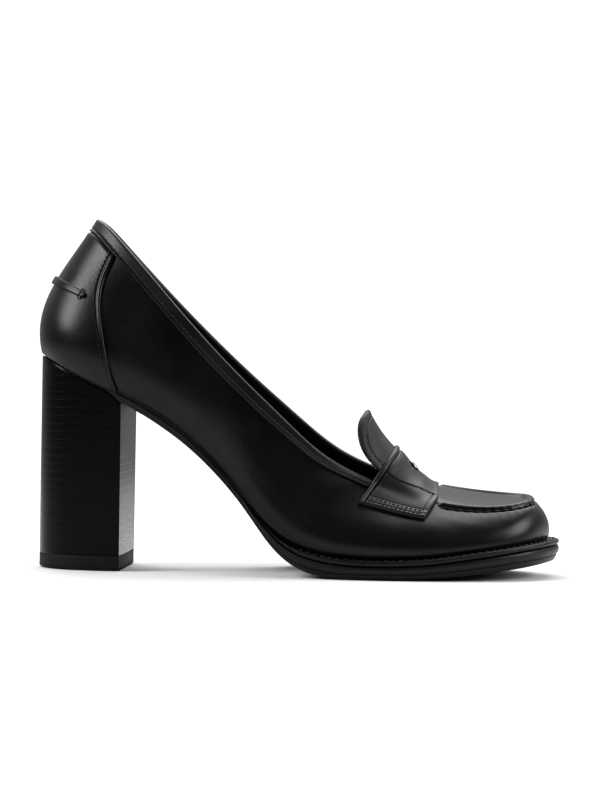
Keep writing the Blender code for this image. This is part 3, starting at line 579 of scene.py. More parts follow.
def buildUpper():
    # wall(girth, share) pushed out by the relief, over the top edge, back down the inside 1.5 mm deeper, and the
    # lasting margin turned in under the sock
    girth = np.arange(upperLook["columns"]) * girthEnd / upperLook["columns"]
    # levels closer together towards the top, where the puckers are
    up = 1 - np.linspace(1, 0, upperLook["levels"]) ** 1.5
    up = np.concatenate([[0.0, 0.012], up[1:]])
    outer = wallAt(girth[:, None], up[None])
    normals = gridNormals(outer, True)
    outer = outer + normals * upperRelief(girth[:, None], up[None])[..., None]
    # with the levels running downwards, the grid's normals point inwards
    down = np.append(np.linspace(1, 0.02, upperLook["innerLevels"]), [0.006, 0.0])
    innerBase = wallAt(girth[:, None], down[None])
    inner = innerBase + gridNormals(innerBase, True) * shoe["wall"]
    rim = (outer[:, -1:] + inner[:, :1]) / 2 + np.array([0, 0, 0.3])
    turnedIn = []
    for inset, above in upperLook["turnedIn"]:
        plan = footPlan(girth, np.full(len(girth), -inset))[0]
        turnedIn.append(np.column_stack([plan, featherZ(plan[:, 0]) + above]))
    section = [outer, rim, inner, np.stack(turnedIn, 1)]
    loft("upper_wall", np.concatenate(section, 1), calf, True, ("upper",))
    # the lining: a thin skin over the inside, from just under the collar's binding down to the sock
    base = wallAt(girth[::2, None], np.linspace(0.965, 0.015, 26)[None])
    inwards = gridNormals(base, True)
    skin = [base + inwards * (shoe["wall"] + depth) for depth in (0.02, 0.3)]
    loft("upper_lining", np.concatenate([skin[0], skin[1][:, ::-1]], 1), liningLeather, True, ())
    print("upper wall done")


# every stitch here and below is spacing, length, radius and arch
apronLook = {"rows": 240, "columns": 150, "rim": 1.3, "thick": 1.4, "puckerEvery": 3.8, "pucker": 0.16,
             "frontFrom": 167.5, "stitch": (3.8, 2.5, 0.3, 0.28), "stitchedFrom": 168.2}
seamLine = topLine(np.linspace(girthAtTop(160), girthEnd - girthAtTop(160), 900))
seamRun = runAlong(seamLine)


def nearSeam(points):  # distance to the moccasin seam, and how far round it the nearest place is
    distance, place = [], []
    for block in np.array_split(points.reshape(-1, 3), 10):  # in blocks, to spare memory
        gap = ((block[:, None] - seamLine[None]) ** 2).sum(-1)
        distance.append(np.sqrt(gap.min(1)))
        place.append(seamRun[gap.argmin(1)])
    return np.concatenate(distance).reshape(points.shape[:-1]), np.concatenate(place).reshape(points.shape[:-1])


def buildApron():
    # instep(girth, across) inside the seam, with a rolled rim: up a quarter circle, down again by 4 mm from the seam;
    # it starts out of sight under the saddle, and its rows are closer together towards the toe
    start = girthAtTop(152)
    girth = toeGirth - (toeGirth - start) * np.linspace(1, 0.0012, apronLook["rows"]) ** 1.25
    widest = math.pi / 2 * 0.97
    across = np.sin(np.linspace(-1, 1, apronLook["columns"]) * widest) / math.sin(widest)
    base = instepAt(girth[:, None], across[None])
    normals = gridNormals(base)
    distance, run = nearSeam(base)
    front = smooth(base[..., 0], apronLook["frontFrom"], apronLook["frontFrom"] + 3)
    peak = apronLook["rim"]
    rim = -0.5 + (peak + 0.5) * roundedEdge(distance, 1.9) - peak * 0.9 * smooth(distance, 2.4, 4.3)
    rim = rim - 0.12 * bump(distance, 4.4, 0.4)
    wave = 0.5 + 0.5 * np.cos(tau * run / apronLook["puckerEvery"])
    rim = rim - apronLook["pucker"] * wave * bump(distance, 0.7, 1.0)
    relief = rim * front + 0.05 * np.sin(base[..., 0] * 0.3) * np.sin(base[..., 1] * 0.25) * smooth(distance, 4, 8)
    outer = base + normals * relief[..., None]
    closedSheet("apron", outer, base - normals * apronLook["thick"], calf, ())
    # the hand-sewn thread along the foot of the rim
    start = girthAtTop(apronLook["stitchedFrom"])
    girths = np.linspace(start, girthEnd - start, 500)
    line = wallAt(girths, 1 - 0.35 / heightAt(girths))
    up = wallNormal(girths, np.full(500, 0.94))
    sew("apron_stitches", "upper", [(line - up * 0.3, up)], *apronLook["stitch"])
    print("apron done")


collarLook = {
    "columns": 620, "end": 141.2, "thick": 0.75, "over": 0.5, "stitch": (2.3, 1.5, 0.2, 0.14), "stitchesUp": 2.0,
    # up from the lower edge, and height as a share of the thickness: a bead, then the stitches' channel
    "outside": ((0.0, 0.0), (0.0, 0.55), (0.12, 0.95), (0.3, 1.2), (0.5, 1.32), (0.75, 1.28), (1.0, 1.0), (1.2, 0.72),
                (1.35, 0.62), (1.5, 0.72), (1.7, 0.92), (2.1, 1.0)),
    # down from the top edge, and height off the wall's inner face: down the inside, and back within the wall
    "inside": ((1.6, -0.5), (2.8, -0.45), (4.1, -0.35), (4.5, -0.15), (4.5, 0.15), (3.0, 0.3), (0.8, 0.5)),
}


def buildCollar():
    # a binding round the collar: section of distance below the edge and height off the wall, carried round
    end = girthAtTop(collarLook["end"]) - 0.5
    girth = np.linspace(-end, end, collarLook["columns"])
    width = bandAt(girth)[:, None]
    outside = shoe["gap"] + collarLook["thick"]
    low, lift = np.array(collarLook["outside"]).T
    level = np.linspace(0, 1, 7)[1:-1]
    within, inner = np.array(collarLook["inside"]).T
    # half a circle over the top edge, from the outer face to the inner one
    turn = np.linspace(0, math.pi, 11)
    radius = (shoe["wall"] + outside + collarLook["over"]) / 2
    rest = np.concatenate([collarLook["over"] - np.sin(turn) * radius * 0.8, within])
    below = np.concatenate([width - low, (width - low[-1]) * (1 - level) + 0.9 * level,
                            np.broadcast_to(rest, (len(girth), len(rest)))], 1)
    over = np.concatenate([shoe["gap"] + collarLook["thick"] * lift, np.full(len(level), outside),
                           outside - radius + np.cos(turn) * radius, inner - shoe["wall"]])
    share = 1 - np.maximum(below, 0) / heightAt(girth)[:, None]
    base = wallAt(girth[:, None], share)
    normal = normalOf(wallAt, np.broadcast_to(girth[:, None], share.shape), np.minimum(share, 0.985), 0.3, 0.008)
    up = unit(wallAt(girth, 1.0) - wallAt(girth, 0.97))[:, None]
    points = base + normal * over[:, None] + up * np.maximum(-below, 0)[..., None]
    loft("collar_band", points, matteCalfWithPaintedLight, False, ("collar_band",))
    girths = np.linspace(-end + 1.5, end - 1.5, 900)
    share = 1 - (bandAt(girths) - collarLook["stitchesUp"]) / heightAt(girths)
    up = wallNormal(girths, share)
    line = wallAt(girths, share) + up * (outside - 0.05)
    sew("collar_stitches", "collar_band", [(line, up)], *collarLook["stitch"])
    print("collar done")


counterLook = {"thick": 0.85, "underBand": 0.9, "bead": 0.28, "stitch": (2.1, 1.35, 0.19, 0.13), "stitchesIn": 2.5}


def counterGrid(rows, columns, inset=0.0):
    # levels up the heel to just under the band, each from the outer front edge, where the wall's X meets the edge's
    # curve, round the back to the inner one
    fine = np.linspace(0, girthAtFoot(50), 160)
    ceiling = 1 - (bandAt(fine) - counterLook["underBand"]) / heightAt(fine)
    level = np.linspace(0.012, 1, rows)
    line = wallAt(fine, level[:, None] * ceiling)
    off = line[..., 0] - through(counterEdge, line[..., 2].ravel()).reshape(line.shape[:2])
    end = np.array([np.interp(0, off[i], fine) for i in range(rows)]) - inset
    side = np.linspace(0, 1, columns) ** 0.85
    mirrored = np.concatenate([-side[:0:-1], side])
    girth = end[:, None] * mirrored[None]
    share = level[:, None] * np.interp(np.abs(girth), fine, ceiling)
    return girth.T, share.T, (end[:, None] * (1 - np.abs(mirrored))[None]).T


def buildCounter():
    # the counter's grid pushed out by a thickness that rounds off at its edges, with a bead and a groove along them
    girth, share, fromEdge = counterGrid(70, 150)
    base = wallAt(girth, share)
    normals = gridNormals(base)
    height = share * heightAt(girth)
    toBand = heightAt(girth) - height - bandAt(girth)
    thick = counterLook["thick"] * roundedEdge(fromEdge + 0.02, 0.5) * roundedEdge(height + 0.3, 0.6)
    # it thins out where the band lies over it
    under = 0.05 + 0.95 * smooth(toBand, 0.0, 1.1)
    bead = counterLook["bead"] * (bump(fromEdge, 0.75, 0.45) - 0.7 * bump(fromEdge, 1.75, 0.3))
    soft = -0.12 * bump(base[..., 2], 104, 10) * bump(np.abs(base[..., 1]), 18, 8)
    outer = base + normals * (shoe["gap"] + (thick + bead) * under - 0.2 * (1 - under) + soft)[..., None]
    inner = base + normals * 0.12
    closedSheet("counter_panel", outer, inner, calf, ("counter_panel",))
    girth, share, _ = counterGrid(120, 3, counterLook["stitchesIn"])
    paths = []
    for edge in (0, -1):
        g, s = girth[edge][4:-2], share[edge][4:-2]
        up = wallNormal(g, s)
        paths.append((wallAt(g, s) + up * (shoe["gap"] + counterLook["thick"] - 0.03), up))
    sew("counter_stitches", "counter_panel", paths, *counterLook["stitch"])
    print("counter done")


# width, and the share of it lost at the ends; height at the back and fall forwards; X of the foot below its ends; lift
# off the wall; how far each end's whipping reaches, and the section of the strap that it lies on
strapLook = {"width": 3.5, "narrower": 0.35, "thick": 1.1, "zAtBack": 119.3, "slope": 0.46, "endX": 11.6, "lift": 1.4,
             "tack": 2.5, "tackRadius": 0.5, "tacked": {"heel_strap_tack_outer": 8, "heel_strap_tack_inner": 251}}


def buildHeelStrap():
    # a rounded flat section carried round the counter, dipping forwards: cos and sin to low powers make its corners
    end = girthAtFoot(strapLook["endX"])
    girth = np.linspace(-end, end, 260)
    levels = np.linspace(0.2, 0.9, 160)
    line = wallAt(girth[:, None], levels[None])
    back = line[len(girth) // 2, len(levels) // 2, 0]
    drop = line[..., 2] - (strapLook["zAtBack"] - strapLook["slope"] * (line[..., 0] - back))
    middle = np.array([np.interp(0, row, levels) for row in drop])
    turn = np.arange(28) * tau / 28
    sideways = np.sign(np.cos(turn)) * np.abs(np.cos(turn)) ** 0.35 * strapLook["width"] / 2
    upright = np.sign(np.sin(turn)) * np.abs(np.sin(turn)) ** 0.5 * strapLook["thick"] / 2
    taper = roundedEdge(end - np.abs(girth), 1.0)[:, None] * 0.25 + 0.75
    taper = taper * (1 - strapLook["narrower"] * (girth / end)[:, None] ** 2)
    share = middle[:, None] + sideways[None] * taper / heightAt(girth)[:, None]
    base = wallAt(girth[:, None], share)
    normal = normalOf(wallAt, np.broadcast_to(girth[:, None], share.shape), share, 0.3, 0.01)
    points = base + normal * (strapLook["lift"] + strapLook["thick"] / 2 + upright[None] * taper)[..., None]
    loft("heel_strap", points[:, ::-1], calf, False, ("heel_strap",))
    # a thick whipped stitch across each end, from the counter over the strap to the counter again
    across = np.linspace(-1, 1, 40)
    for name, row in strapLook["tacked"].items():
        share = middle[row] + across * strapLook["tack"] / heightAt(girth[row : row + 1])
        normal = normalOf(wallAt, np.full(40, girth[row]), share, 0.3, 0.01)
        over = 1.2 + strapLook["thick"] * smooth(1 - np.abs(across), 0.02, 0.3)
        path = wallAt(girth[row], share) + normal * over[:, None]
        side = np.cross(unit(np.gradient(path, axis=0)), normal)
        ends = np.sqrt(np.clip(1.02 - across**8, 0.03, 1))
        twisted = strapLook["tackRadius"] * (1 + 0.1 * np.cos(across * 40)) * ends
        cosine, sine = np.cos(turn[::2])[None, :, None], np.sin(turn[::2])[None, :, None]
        ring = cosine * side[:, None] + sine * normal[:, None]
        loft(name, path[:, None] + ring * twisted[:, None, None], thread, False, ())
    print("heel strap done")


# where the tip is and how its round narrows, the share of the instep's width, the hem, where the lying part is and how
# long it and the standing part are, and the share of the width from which the normals are left as they are
tongueLook = {"thick": 1.25, "tipX": 137.3, "tipZ": 67.6, "tipRound": 16.0, "tipPower": 0.62, "share": 0.8, "hem": 3.0,
              "rear": 141.2, "front": 156.5, "lies": 14, "stands": 21.38, "steadyFrom": 0.6, "lyingRows": 26,
              "stitch": (2.2, 1.6, 0.16, 0.06)}


def gridAt(grid, row, column):  # a point between the points of a grid, by the shares of the four round it
    i = np.clip(row.astype(int), 0, grid.shape[0] - 2)
    j = np.clip(column.astype(int), 0, grid.shape[1] - 2)
    a, b = (row - i)[:, None], (column - j)[:, None]
    left, right = (grid[i, k] * (1 - a) + grid[i + 1, k] * a for k in (j, j + 1))
    return left * (1 - b) + right * b


def tongueGrid(travelled, across):
    # lying: the instep's own surface; standing: its rear row carried back and up an arc, narrowed to the tip
    lyingRows = tongueLook["lyingRows"]
    rear, front = girthAtTop(tongueLook["rear"]), girthAtTop(tongueLook["front"])
    lying = instepAt(np.linspace(rear, front, lyingRows)[:, None], tongueLook["share"] * across[None])
    probe = instepAt(np.array([rear, rear + 0.5])[:, None], np.array([[0.0]]))[:, 0]
    centre, step = probe[0], probe[0] - probe[1]
    start = math.atan2(step[2], -step[0])
    rise, run = tongueLook["tipZ"] - centre[2], centre[0] - tongueLook["tipX"]
    finish, length = 2 * math.atan2(rise, run) - start, math.hypot(rise, run)
    t = travelled[:, None]
    lean = (finish - start) * t
    mean = start + lean / 2
    left = np.clip((1 - t) * length / tongueLook["tipRound"], 0, 1)
    narrow = (1 - (1 - left) ** 2.0) ** tongueLook["tipPower"]
    arc = lying[0] - centre
    x = arc[None, :, 0] * np.cos(lean) + arc[None, :, 2] * np.sin(lean)
    z = arc[None, :, 2] * np.cos(lean) - arc[None, :, 0] * np.sin(lean)
    y = np.broadcast_to(arc[None, :, 1], x.shape)
    middle = np.concatenate([centre[0] - t * length * np.cos(mean), 0 * t, centre[2] + t * length * np.sin(mean)], 1)
    standing = middle[:, None] + np.stack([x, y, z], -1) * narrow[..., None]
    half = np.abs(lying[0, -1, 1] - lying[0, 0, 1]) / 2 * 1.15
    fromTip = np.concatenate([(1 - t[:, 0]) * length, length + np.linspace(0, tongueLook["lies"], lyingRows)])
    return np.concatenate([standing, lying]), fromTip, np.concatenate([half * narrow[:, 0], np.full(lyingRows, half)])


def buildTongue():
    # rows at even steps of width round the tip, then at even steps down to the instep
    wide = np.linspace(0.07, 0.98, 70)
    left = 1 - np.sqrt(1 - wide ** (1 / tongueLook["tipPower"]))
    travelled = 1 - left * tongueLook["tipRound"] / tongueLook["stands"]
    travelled = np.append(travelled, np.linspace(travelled[-1], 0, tongueLook["lyingRows"])[1:-1])
    across = np.sin(np.linspace(-1, 1, 110) * math.pi / 2)
    grid, fromTip, width = tongueGrid(travelled, across)
    normals = gridNormals(grid)
    # towards the tip, where all columns meet, the normals turn to the middle column's own
    share = width / width[-1]
    steady = normals[np.searchsorted(share, tongueLook["steadyFrom"]), len(across) // 2]
    turning = smooth(share, 0.1, tongueLook["steadyFrom"])[:, None, None]
    normals = unit(normals * turning + steady * (1 - turning))
    # distance to the edge, measured on the tongue laid flat
    outline = np.concatenate([np.column_stack([fromTip, -width])[::-1], np.column_stack([fromTip, width])])
    flat = np.stack(np.broadcast_arrays(fromTip[:, None], across[None] * width[:, None]), -1)
    fromEdge = np.sqrt(((flat[:, :, None] - outline[None, None]) ** 2).sum(-1)).min(-1)
    fromEdge = np.where(np.abs(across)[None] > 0.9999, 0, np.minimum(fromEdge, fromTip[:, None] - fromTip[0]))
    thick, edge = tongueLook["thick"], roundedEdge(fromEdge + 0.02, 0.5)
    hem = -0.2 * bump(fromEdge, tongueLook["hem"], 0.3) + 0.08 * bump(fromEdge, 1.4, 1.0)
    # thinner where it lies under the saddle
    thick = (thick - 0.4 * smooth(fromTip, fromTip[-1] - 16, fromTip[-1] - 12))[:, None]
    middle = shoe["gap"] + 0.1 + thick / 2
    outer = grid + normals * (middle + thick / 2 * edge + hem * edge)[..., None]
    inner = grid + normals * (middle - thick / 2 * edge)[..., None]
    closedSheet("tongue", outer, inner, matteCalfWithPaintedLight, ("tongue",))
    # stitches on the outline moved in by the hem's width
    along = unit(np.gradient(outline, axis=0))
    inset = outline + np.column_stack([along[:, 1], -along[:, 0]]) * tongueLook["hem"]
    inset = inset[np.sqrt(((inset[:, None] - outline[None]) ** 2).sum(-1)).min(1) > tongueLook["hem"] - 0.05]
    row = np.interp(inset[:, 0], fromTip, np.arange(len(fromTip)))
    column = np.interp(inset[:, 1] / np.interp(inset[:, 0], fromTip, width), across, np.arange(len(across)))
    up = gridAt(normals, row, column)
    sew("tongue_stitches", "tongue", [(gridAt(outer, row, column) + up * 0.02, up)], *tongueLook["stitch"])
    print("tongue done")


saddleLook = {
    "thick": 1.4, "dropRear": 14.2, "dropFront": 11.3, "overlay": 0.3, "overTongue": 1.1, "sides": 100,
    "stitch": (1.9, 1.2, 0.15, 0.06), "endStitch": (1.75, 1.3, 0.24, 0.2, 0.45),
    # 0 the lower end, 1 the top of the wall, 2 the middle of the instep; beside it X of the place along the seam
    "rear": ((0.0, 141.0), (1.0, 141.1), (1.4, 140.0), (2.0, 139.6)),
    "front": ((0.0, 163.9), (1.0, 166.8), (1.4, 167.6), (2.0, 166.4)),
}


def saddleGrid(along, wallShare, across):
    # rows from the rear edge to the front one, each up the outer wall from its drop, over the instep, down the inner
    climbed = np.concatenate([1 - wallShare, 2 - np.abs(across), 1 - wallShare[::-1]])
    rear, front = (np.array([girthAtTop(x) for x in np.interp(climbed, *zip(*saddleLook[edge]))])
                   for edge in ("rear", "front"))
    girth = rear + (front - rear) * along[:, None]
    drop = saddleLook["dropRear"] + (saddleLook["dropFront"] - saddleLook["dropRear"]) * along[:, None]
    n = len(wallShare)
    low, over, high = girth[:, :n], girth[:, n:-n], girthEnd - girth[:, -n:]
    return np.concatenate([
        wallAt(low, 1 - drop * wallShare / heightAt(low)), instepAt(over, across),
        wallAt(high, 1 - drop * wallShare[::-1] / heightAt(high))], 1), girth


def buildSaddle():
    # rows over the whole saddle, up one wall, over the instep, down the other; the height is a sum of low reliefs
    wallShare = np.concatenate([1 - 0.05 * np.linspace(0, 1, 6) ** 2, np.linspace(0.93, 0.05, 44)])
    across = np.linspace(-0.97, 0.97, 110)
    ends = 0.035 * (1 - np.cos(np.linspace(0, math.pi / 2, 6)))
    along = np.concatenate([ends, np.linspace(0.045, 0.955, 100), 1 - ends[::-1]])
    grid, girth = saddleGrid(along, wallShare, across)
    for _ in range(6):  # eases the fold where the wall meets the instep
        grid[:, 1:-1] = grid[:, 1:-1] * 0.5 + (grid[:, :-2] + grid[:, 2:]) * 0.25
    normals = gridNormals(grid)
    # millimetres from each edge, and from the middle of the instep
    acrossRun, fromRear = runAlong(grid, 1), runAlong(grid, 0)
    fromLow = np.minimum(acrossRun, acrossRun[:, -1:] - acrossRun)
    fromMiddle = acrossRun[:, -1:] / 2 - fromLow
    fromFront = fromRear[-1:] - fromRear
    pastTongue = smooth(ringValue("topX", girth), 157.5, 165.5)
    raised = 1 - smooth(fromMiddle, 16.5, 25.5)
    seat = shoe["gap"] + 0.1 + saddleLook["overTongue"] * (1 - pastTongue) * raised
    # the overlay on top ends in a lengthwise seam, over the side part's soft bulge
    seam = 19.0 - 5.2 * along[:, None]
    overlay = smooth(seam - fromMiddle, -0.12, 0.12)
    side = 1 - overlay
    relief = saddleLook["overlay"] * overlay - 0.3 * bump(fromMiddle - seam, 0.2, 0.22)
    relief = relief + 0.35 * side * bump(fromLow, 9.0, 4.0)
    # the rear edge is piped, each lower end has two sewn ridges, and the side part a strip at the front edge
    piping = 0.55 * np.sqrt(np.clip(1 - ((fromRear - 1.05) / 1.05) ** 2, 0, 1))
    piping = piping - 0.45 * bump(fromRear, 2.3, 0.25) - 0.16 * bump(fromRear, 3.5, 0.22)
    braid = 0.3 * bump(fromLow, 0.85, 0.45) + 0.16 * bump(fromLow, 3.0, 0.5) - 0.16 * bump(fromLow, 5.0, 0.3)
    braid = braid * smooth(fromRear, 2.2, 2.8)
    strip = 0.3 * (1 - smooth(fromFront, 1.9, 2.2)) - 0.25 * bump(fromFront, 2.35, 0.22)
    strip = strip * side * smooth(fromLow, 0.5, 1.5)
    edge = roundedEdge(np.minimum(np.minimum(fromRear, fromFront), fromLow) + 0.04, 0.6)
    body = saddleLook["thick"] - 0.5 + relief * smooth(fromRear, 2.6, 3.4)
    top = seat + (body + piping + braid + strip) * edge + 0.05
    outer = grid + normals * top[..., None]
    inner = grid + normals * (seat - 0.25)[..., None]
    closedSheet("saddle_strap", outer, inner, matteCalfWithPaintedLight, ("saddle_strap",))

    def onColumn(values, wanted, columns, low, high):  # along each row, where a value is reached among the columns
        rows = np.arange(len(along))
        pick = columns[np.abs(values[:, columns] - wanted).argmin(1)]
        keep = (fromRear[rows, pick] > low) & (fromFront[rows, pick] > high)
        return outer[rows[keep], pick[keep]], normals[rows[keep], pick[keep]]

    count, sides = grid.shape[1], saddleLook["sides"]
    nearSide, farSide = np.arange(0, sides), np.arange(count - sides, count)
    braids = [onColumn(fromLow, low, columns, 3.0, 2.6) for low in (1.95, 4.0) for columns in (nearSide, farSide)]
    sew("saddle_end_stitches", "saddle_strap", braids, *saddleLook["endStitch"])
    # a row inside the front edge of each side part, and one along each lengthwise seam
    rows = []
    for columns in (nearSide[8:], farSide[:-8]):
        keep = [j for j in columns if fromLow[50, j] > 5.5 and fromMiddle[-20, j] > 14.5]
        pick = [np.abs(fromFront[:, j] - 2.9).argmin() for j in keep]
        rows.append((outer[pick, keep], normals[pick, keep]))
    rows += [onColumn(fromMiddle - seam, 0.45, columns, 3.2, 0.5) for columns in (nearSide, farSide)]
    sew("saddle_stitches", "saddle_strap", rows, *saddleLook["stitch"])
    print("saddle done")
    return outer, normals


# the stud's profile is of shares: height from 0 at the saddle to 1, and radius
studLook = {"at": 157.9, "radius": 2.9, "height": 1.0, "profile": (
    (0.0, 0.96), (0.0, 1.0), (0.28, 1.03), (0.5, 1.0), (0.62, 0.93), (0.56, 0.86), (0.6, 0.8), (0.78, 0.6),
    (0.92, 0.35), (0.98, 0.12))}


def buildStud(surface, normals):
    # a plain low dome with a turned rim: profile of height and radius, spun about the saddle's normal
    middle = surface.shape[1] // 2
    row = np.abs(surface[:, middle, 0] - studLook["at"]).argmin()
    centre, up = surface[row, middle], normals[row, middle]
    side = np.array([0.0, 1.0, 0.0])
    forward = unit(np.cross(side, up))
    height, radius = np.array(studLook["profile"]).T[..., None, None]
    turn = np.arange(48) * tau / 48
    ring = np.cos(turn)[:, None] * forward + np.sin(turn)[:, None] * side
    levels = centre + up * 0.02 + height * studLook["height"] * up + radius * studLook["radius"] * ring
    loft("saddle_stud", levels, palePlate, False, ("saddle_stud",))
    print("stud done")


# thickness at the seat and of the welt, where the welt starts and is full, where the heel's breast and the ball stand,
# where the toe's spring starts, how high it gets by the tip, and how far the waist bulges down
soleLook = {"columns": 700, "seat": 1.1, "welt": 2.1, "weltFrom": 95.0, "weltFull": 112.0, "breast": 37.0,
            "ball": 126.0, "flatTo": 156.0, "spring": 6.8, "tip": 219.0, "waist": 0.5, "profile": (
    (0.0, 12.0), (0.0, 6.0), (0.0, 2.6), (0.02, 2.05), (0.08, 1.75), (0.2, 1.35), (0.3, 1.05), (0.335, 1.05),
    (0.355, 1.3), (0.385, 1.3), (0.41, 0.95), (0.46, 0.55), (0.54, 0.25), (0.64, 0.05), (0.76, 0.0), (0.86, 0.08),
    (0.93, 0.25), (0.975, 0.5), (1.0, 0.9), (1.0, 2.2), (1.0, 6.0), (1.0, 12.0))}


def soleUnder(x):
    # height of the underside: the seat's slope over the heel, the waist's curve to the ball, flat, and the toe's
    # spring, which rises with the distance to the power 1.35
    breast, ball = soleLook["breast"], soleLook["ball"]
    down = np.maximum(through(soleUnderside, np.clip(x, breast, ball)), 0)
    spring = np.clip((x - soleLook["flatTo"]) / (soleLook["tip"] - soleLook["flatTo"]), 0, 2) ** 1.35
    seat = featherZ(x) - shoe["gap"] - soleLook["seat"]
    down = down - soleLook["waist"] * smooth(x, 38, 44) * (1 - smooth(x, 92, 108))
    overHeel = seat + (down - seat) * np.clip((x - breast + 7) / 7, 0, 1) ** 2
    return np.where(x < breast, overHeel, np.where(x < ball, down, spring * soleLook["spring"]))


def weltTall(x):  # the welt's thickness, from three tenths at its start to its full one
    grown = (x - soleLook["weltFrom"]) / (soleLook["weltFull"] - soleLook["weltFrom"])
    return soleLook["welt"] * np.clip(0.3 + 0.7 * grown, 0.3, 1)


def soleOver(x):  # height of the sole's top: a gap below the foot, and below the welt where there is one
    start = np.clip((x - soleLook["weltFrom"] + 6) / 4, 0, 1)
    return featherZ(x) - shoe["gap"] - (weltTall(x) + shoe["gap"]) * start


def buildOutsole():
    # side profile of height share and inset, carried round the outline: lip, scored line, bulge and shoulder, all
    # finer towards the heel
    girth = np.arange(soleLook["columns"]) * girthEnd / soleLook["columns"]
    x = footPlan(girth)[0][:, 0]
    fine = np.clip((x - soleLook["breast"]) / 70, 0.25, 1)
    margin = marginAt(girth)
    levels = []
    for share, inset in soleLook["profile"]:
        moved = np.where(inset > 2.1, inset, inset * fine)
        plan = footPlan(girth, margin - moved)[0]
        low, high = soleUnder(plan[:, 0]), soleOver(plan[:, 0])
        levels.append(np.column_stack([plan, low + share * (high - low)]))
    stackedLoops("outsole", np.array(levels), edgePaint, ("outsole",))
    print("outsole done")


# the welt's section of height share and inset; none is its inner edge, under the upper
weltLook = {"stitch": (3.2, 2.2, 0.3, 0.2), "stitchedFrom": 112, "stitchesIn": 1.75, "under": 1.4, "section": (
    (0.0, None), (0.0, 0.7), (0.08, 0.4), (0.28, 0.1), (0.5, 0.0), (0.72, 0.06), (0.9, 0.3), (1.0, 0.75), (1.0, 1.5),
    (0.96, 1.9), (1.0, 2.3), (1.02, None))}


def buildWelt():
    # a strip with rounded edges between the upper and the sole, stitched on top round the forefoot
    start = girthAtFoot(soleLook["weltFrom"])
    girth = np.linspace(start, girthEnd - start, 560)
    margin, under = marginAt(girth), weltLook["under"]
    section = []
    for share, inset in weltLook["section"]:
        out = np.full(len(girth), -under) if inset is None else np.maximum(margin - inset, 0.1 - under)
        plan = footPlan(girth, out)[0]
        z = featherZ(plan[:, 0]) - shoe["gap"] - weltTall(plan[:, 0]) * (1 - share)
        section.append(np.column_stack([plan, z]))
    loft("welt", np.stack(section, 1), edgePaint, False, ("welt",))
    start = girthAtFoot(weltLook["stitchedFrom"])
    girths = np.linspace(start, girthEnd - start, 700)
    plan = footPlan(girths, marginAt(girths) - weltLook["stitchesIn"])[0]
    path = np.column_stack([plan, featherZ(plan[:, 0]) - shoe["gap"] + 0.02])
    up = np.tile([0.0, 0.0, 1.0], (len(path), 1))
    sew("welt_stitches", "welt", [(path, up)], *weltLook["stitch"])
    print("welt done")


insoleLook = {"columns": 420, "over": 1.8, "profile": (  # height share and inset
    (0.0, 2.6), (0.55, 2.5), (0.8, 2.55), (0.95, 2.9), (1.0, 3.6), (1.0, 6.0), (0.97, 10.0))}


def buildInsole():
    # the sock over the insole: a slightly dished pad with a rounded edge, inside the foot line
    girth = np.arange(insoleLook["columns"]) * girthEnd / insoleLook["columns"]
    levels = []
    for height, inset in insoleLook["profile"]:
        plan = footPlan(girth, np.full(len(girth), -inset))[0]
        low, high = soleOver(plan[:, 0]) + shoe["gap"], featherZ(plan[:, 0]) + insoleLook["over"]
        levels.append(np.column_stack([plan, low + height * (high - low)]))
    stackedLoops("insole_sock", np.array(levels), liningLeather, ("insole",))
    print("insole done")


# half the top lift's width and its height, the breast's rounded corners, how far the heel stands inside the sole's
# edge, its eased edges and the gap over the lift
heelLook = {"halfWidth": 22.9, "lift": 5.7, "corner": 1.2, "insideSole": 0.3, "eased": 0.15, "overLift": 0.08,
            "liftProfile": (  # height and inset
    (0.0, 0.9), (0.0, 0.55), (0.25, 0.15), (0.6, 0.0), (2.0, 0.0), (4.6, 0.0), (5.58, 0.0), (5.7, 0.12))}


def heelPlan(inset, base):
    # the heel's D in plan: the seat's own outline behind a flat breast, drawn in by the inset, and as wide as the top
    # lift where base is 1
    breast = girthAtFoot(soleLook["breast"])
    side = np.linspace(0, breast, 90)
    girth = np.concatenate([side, girthEnd - side[:0:-1]])
    plan = footPlan(girth, marginAt(girth) - heelLook["insideSole"])[0]
    narrow = 1 + (heelLook["halfWidth"] / np.abs(plan[:, 1]).max() - 1) * base
    front, back = soleLook["breast"], plan[:, 0].min()
    plan = np.column_stack([front + (plan[:, 0] - front) * (front - inset) / (front - back),
                            plan[:, 1] * narrow * (1 - inset / heelLook["halfWidth"])])
    # a small round at the breast's corners, and the straight breast between them
    corner, steps = len(side), np.linspace(0, 1, 24)[1:-1]
    across = plan[corner - 1] * (1 - steps[:, None]) + plan[corner] * steps[:, None]
    across[:, 0] = front - inset * 0.6 + heelLook["corner"] * 0.25 * (np.sin(steps * math.pi) ** 0.4 - 1)
    return np.concatenate([plan[:corner], across, plan[corner:]])


def buildHeel():
    # the heel's plan at each height, from the top lift to the sole's underside, and the lift's under it
    levels = []
    low = heelLook["lift"] + heelLook["overLift"]
    for share in np.concatenate([[0.0, 0.004], np.linspace(0.02, 0.98, 40), [0.996, 1.0]]):
        plan = heelPlan(heelLook["eased"] if share in (0.0, 1.0) else 0.0, 1 - share)
        top = soleUnder(np.minimum(plan[:, 0], soleLook["breast"] - 0.01)) - 0.05
        levels.append(np.column_stack([plan, low + share * (top - low)]))
    stackedLoops("heel_block", np.array(levels), heelLeather, ("heel_block",))
    levels = []
    for z, inset in heelLook["liftProfile"]:
        plan = heelPlan(inset, 1)
        levels.append(np.column_stack([plan, np.full(len(plan), z)]))
    stackedLoops("top_lift", np.array(levels), liftRubber, ("top_lift",))
    print("heel done")


buildUpper()
buildApron()
buildCollar()
buildCounter()
buildHeelStrap()
buildTongue()
buildStud(*buildSaddle())
buildOutsole()
buildWelt()
buildInsole()
buildHeel()


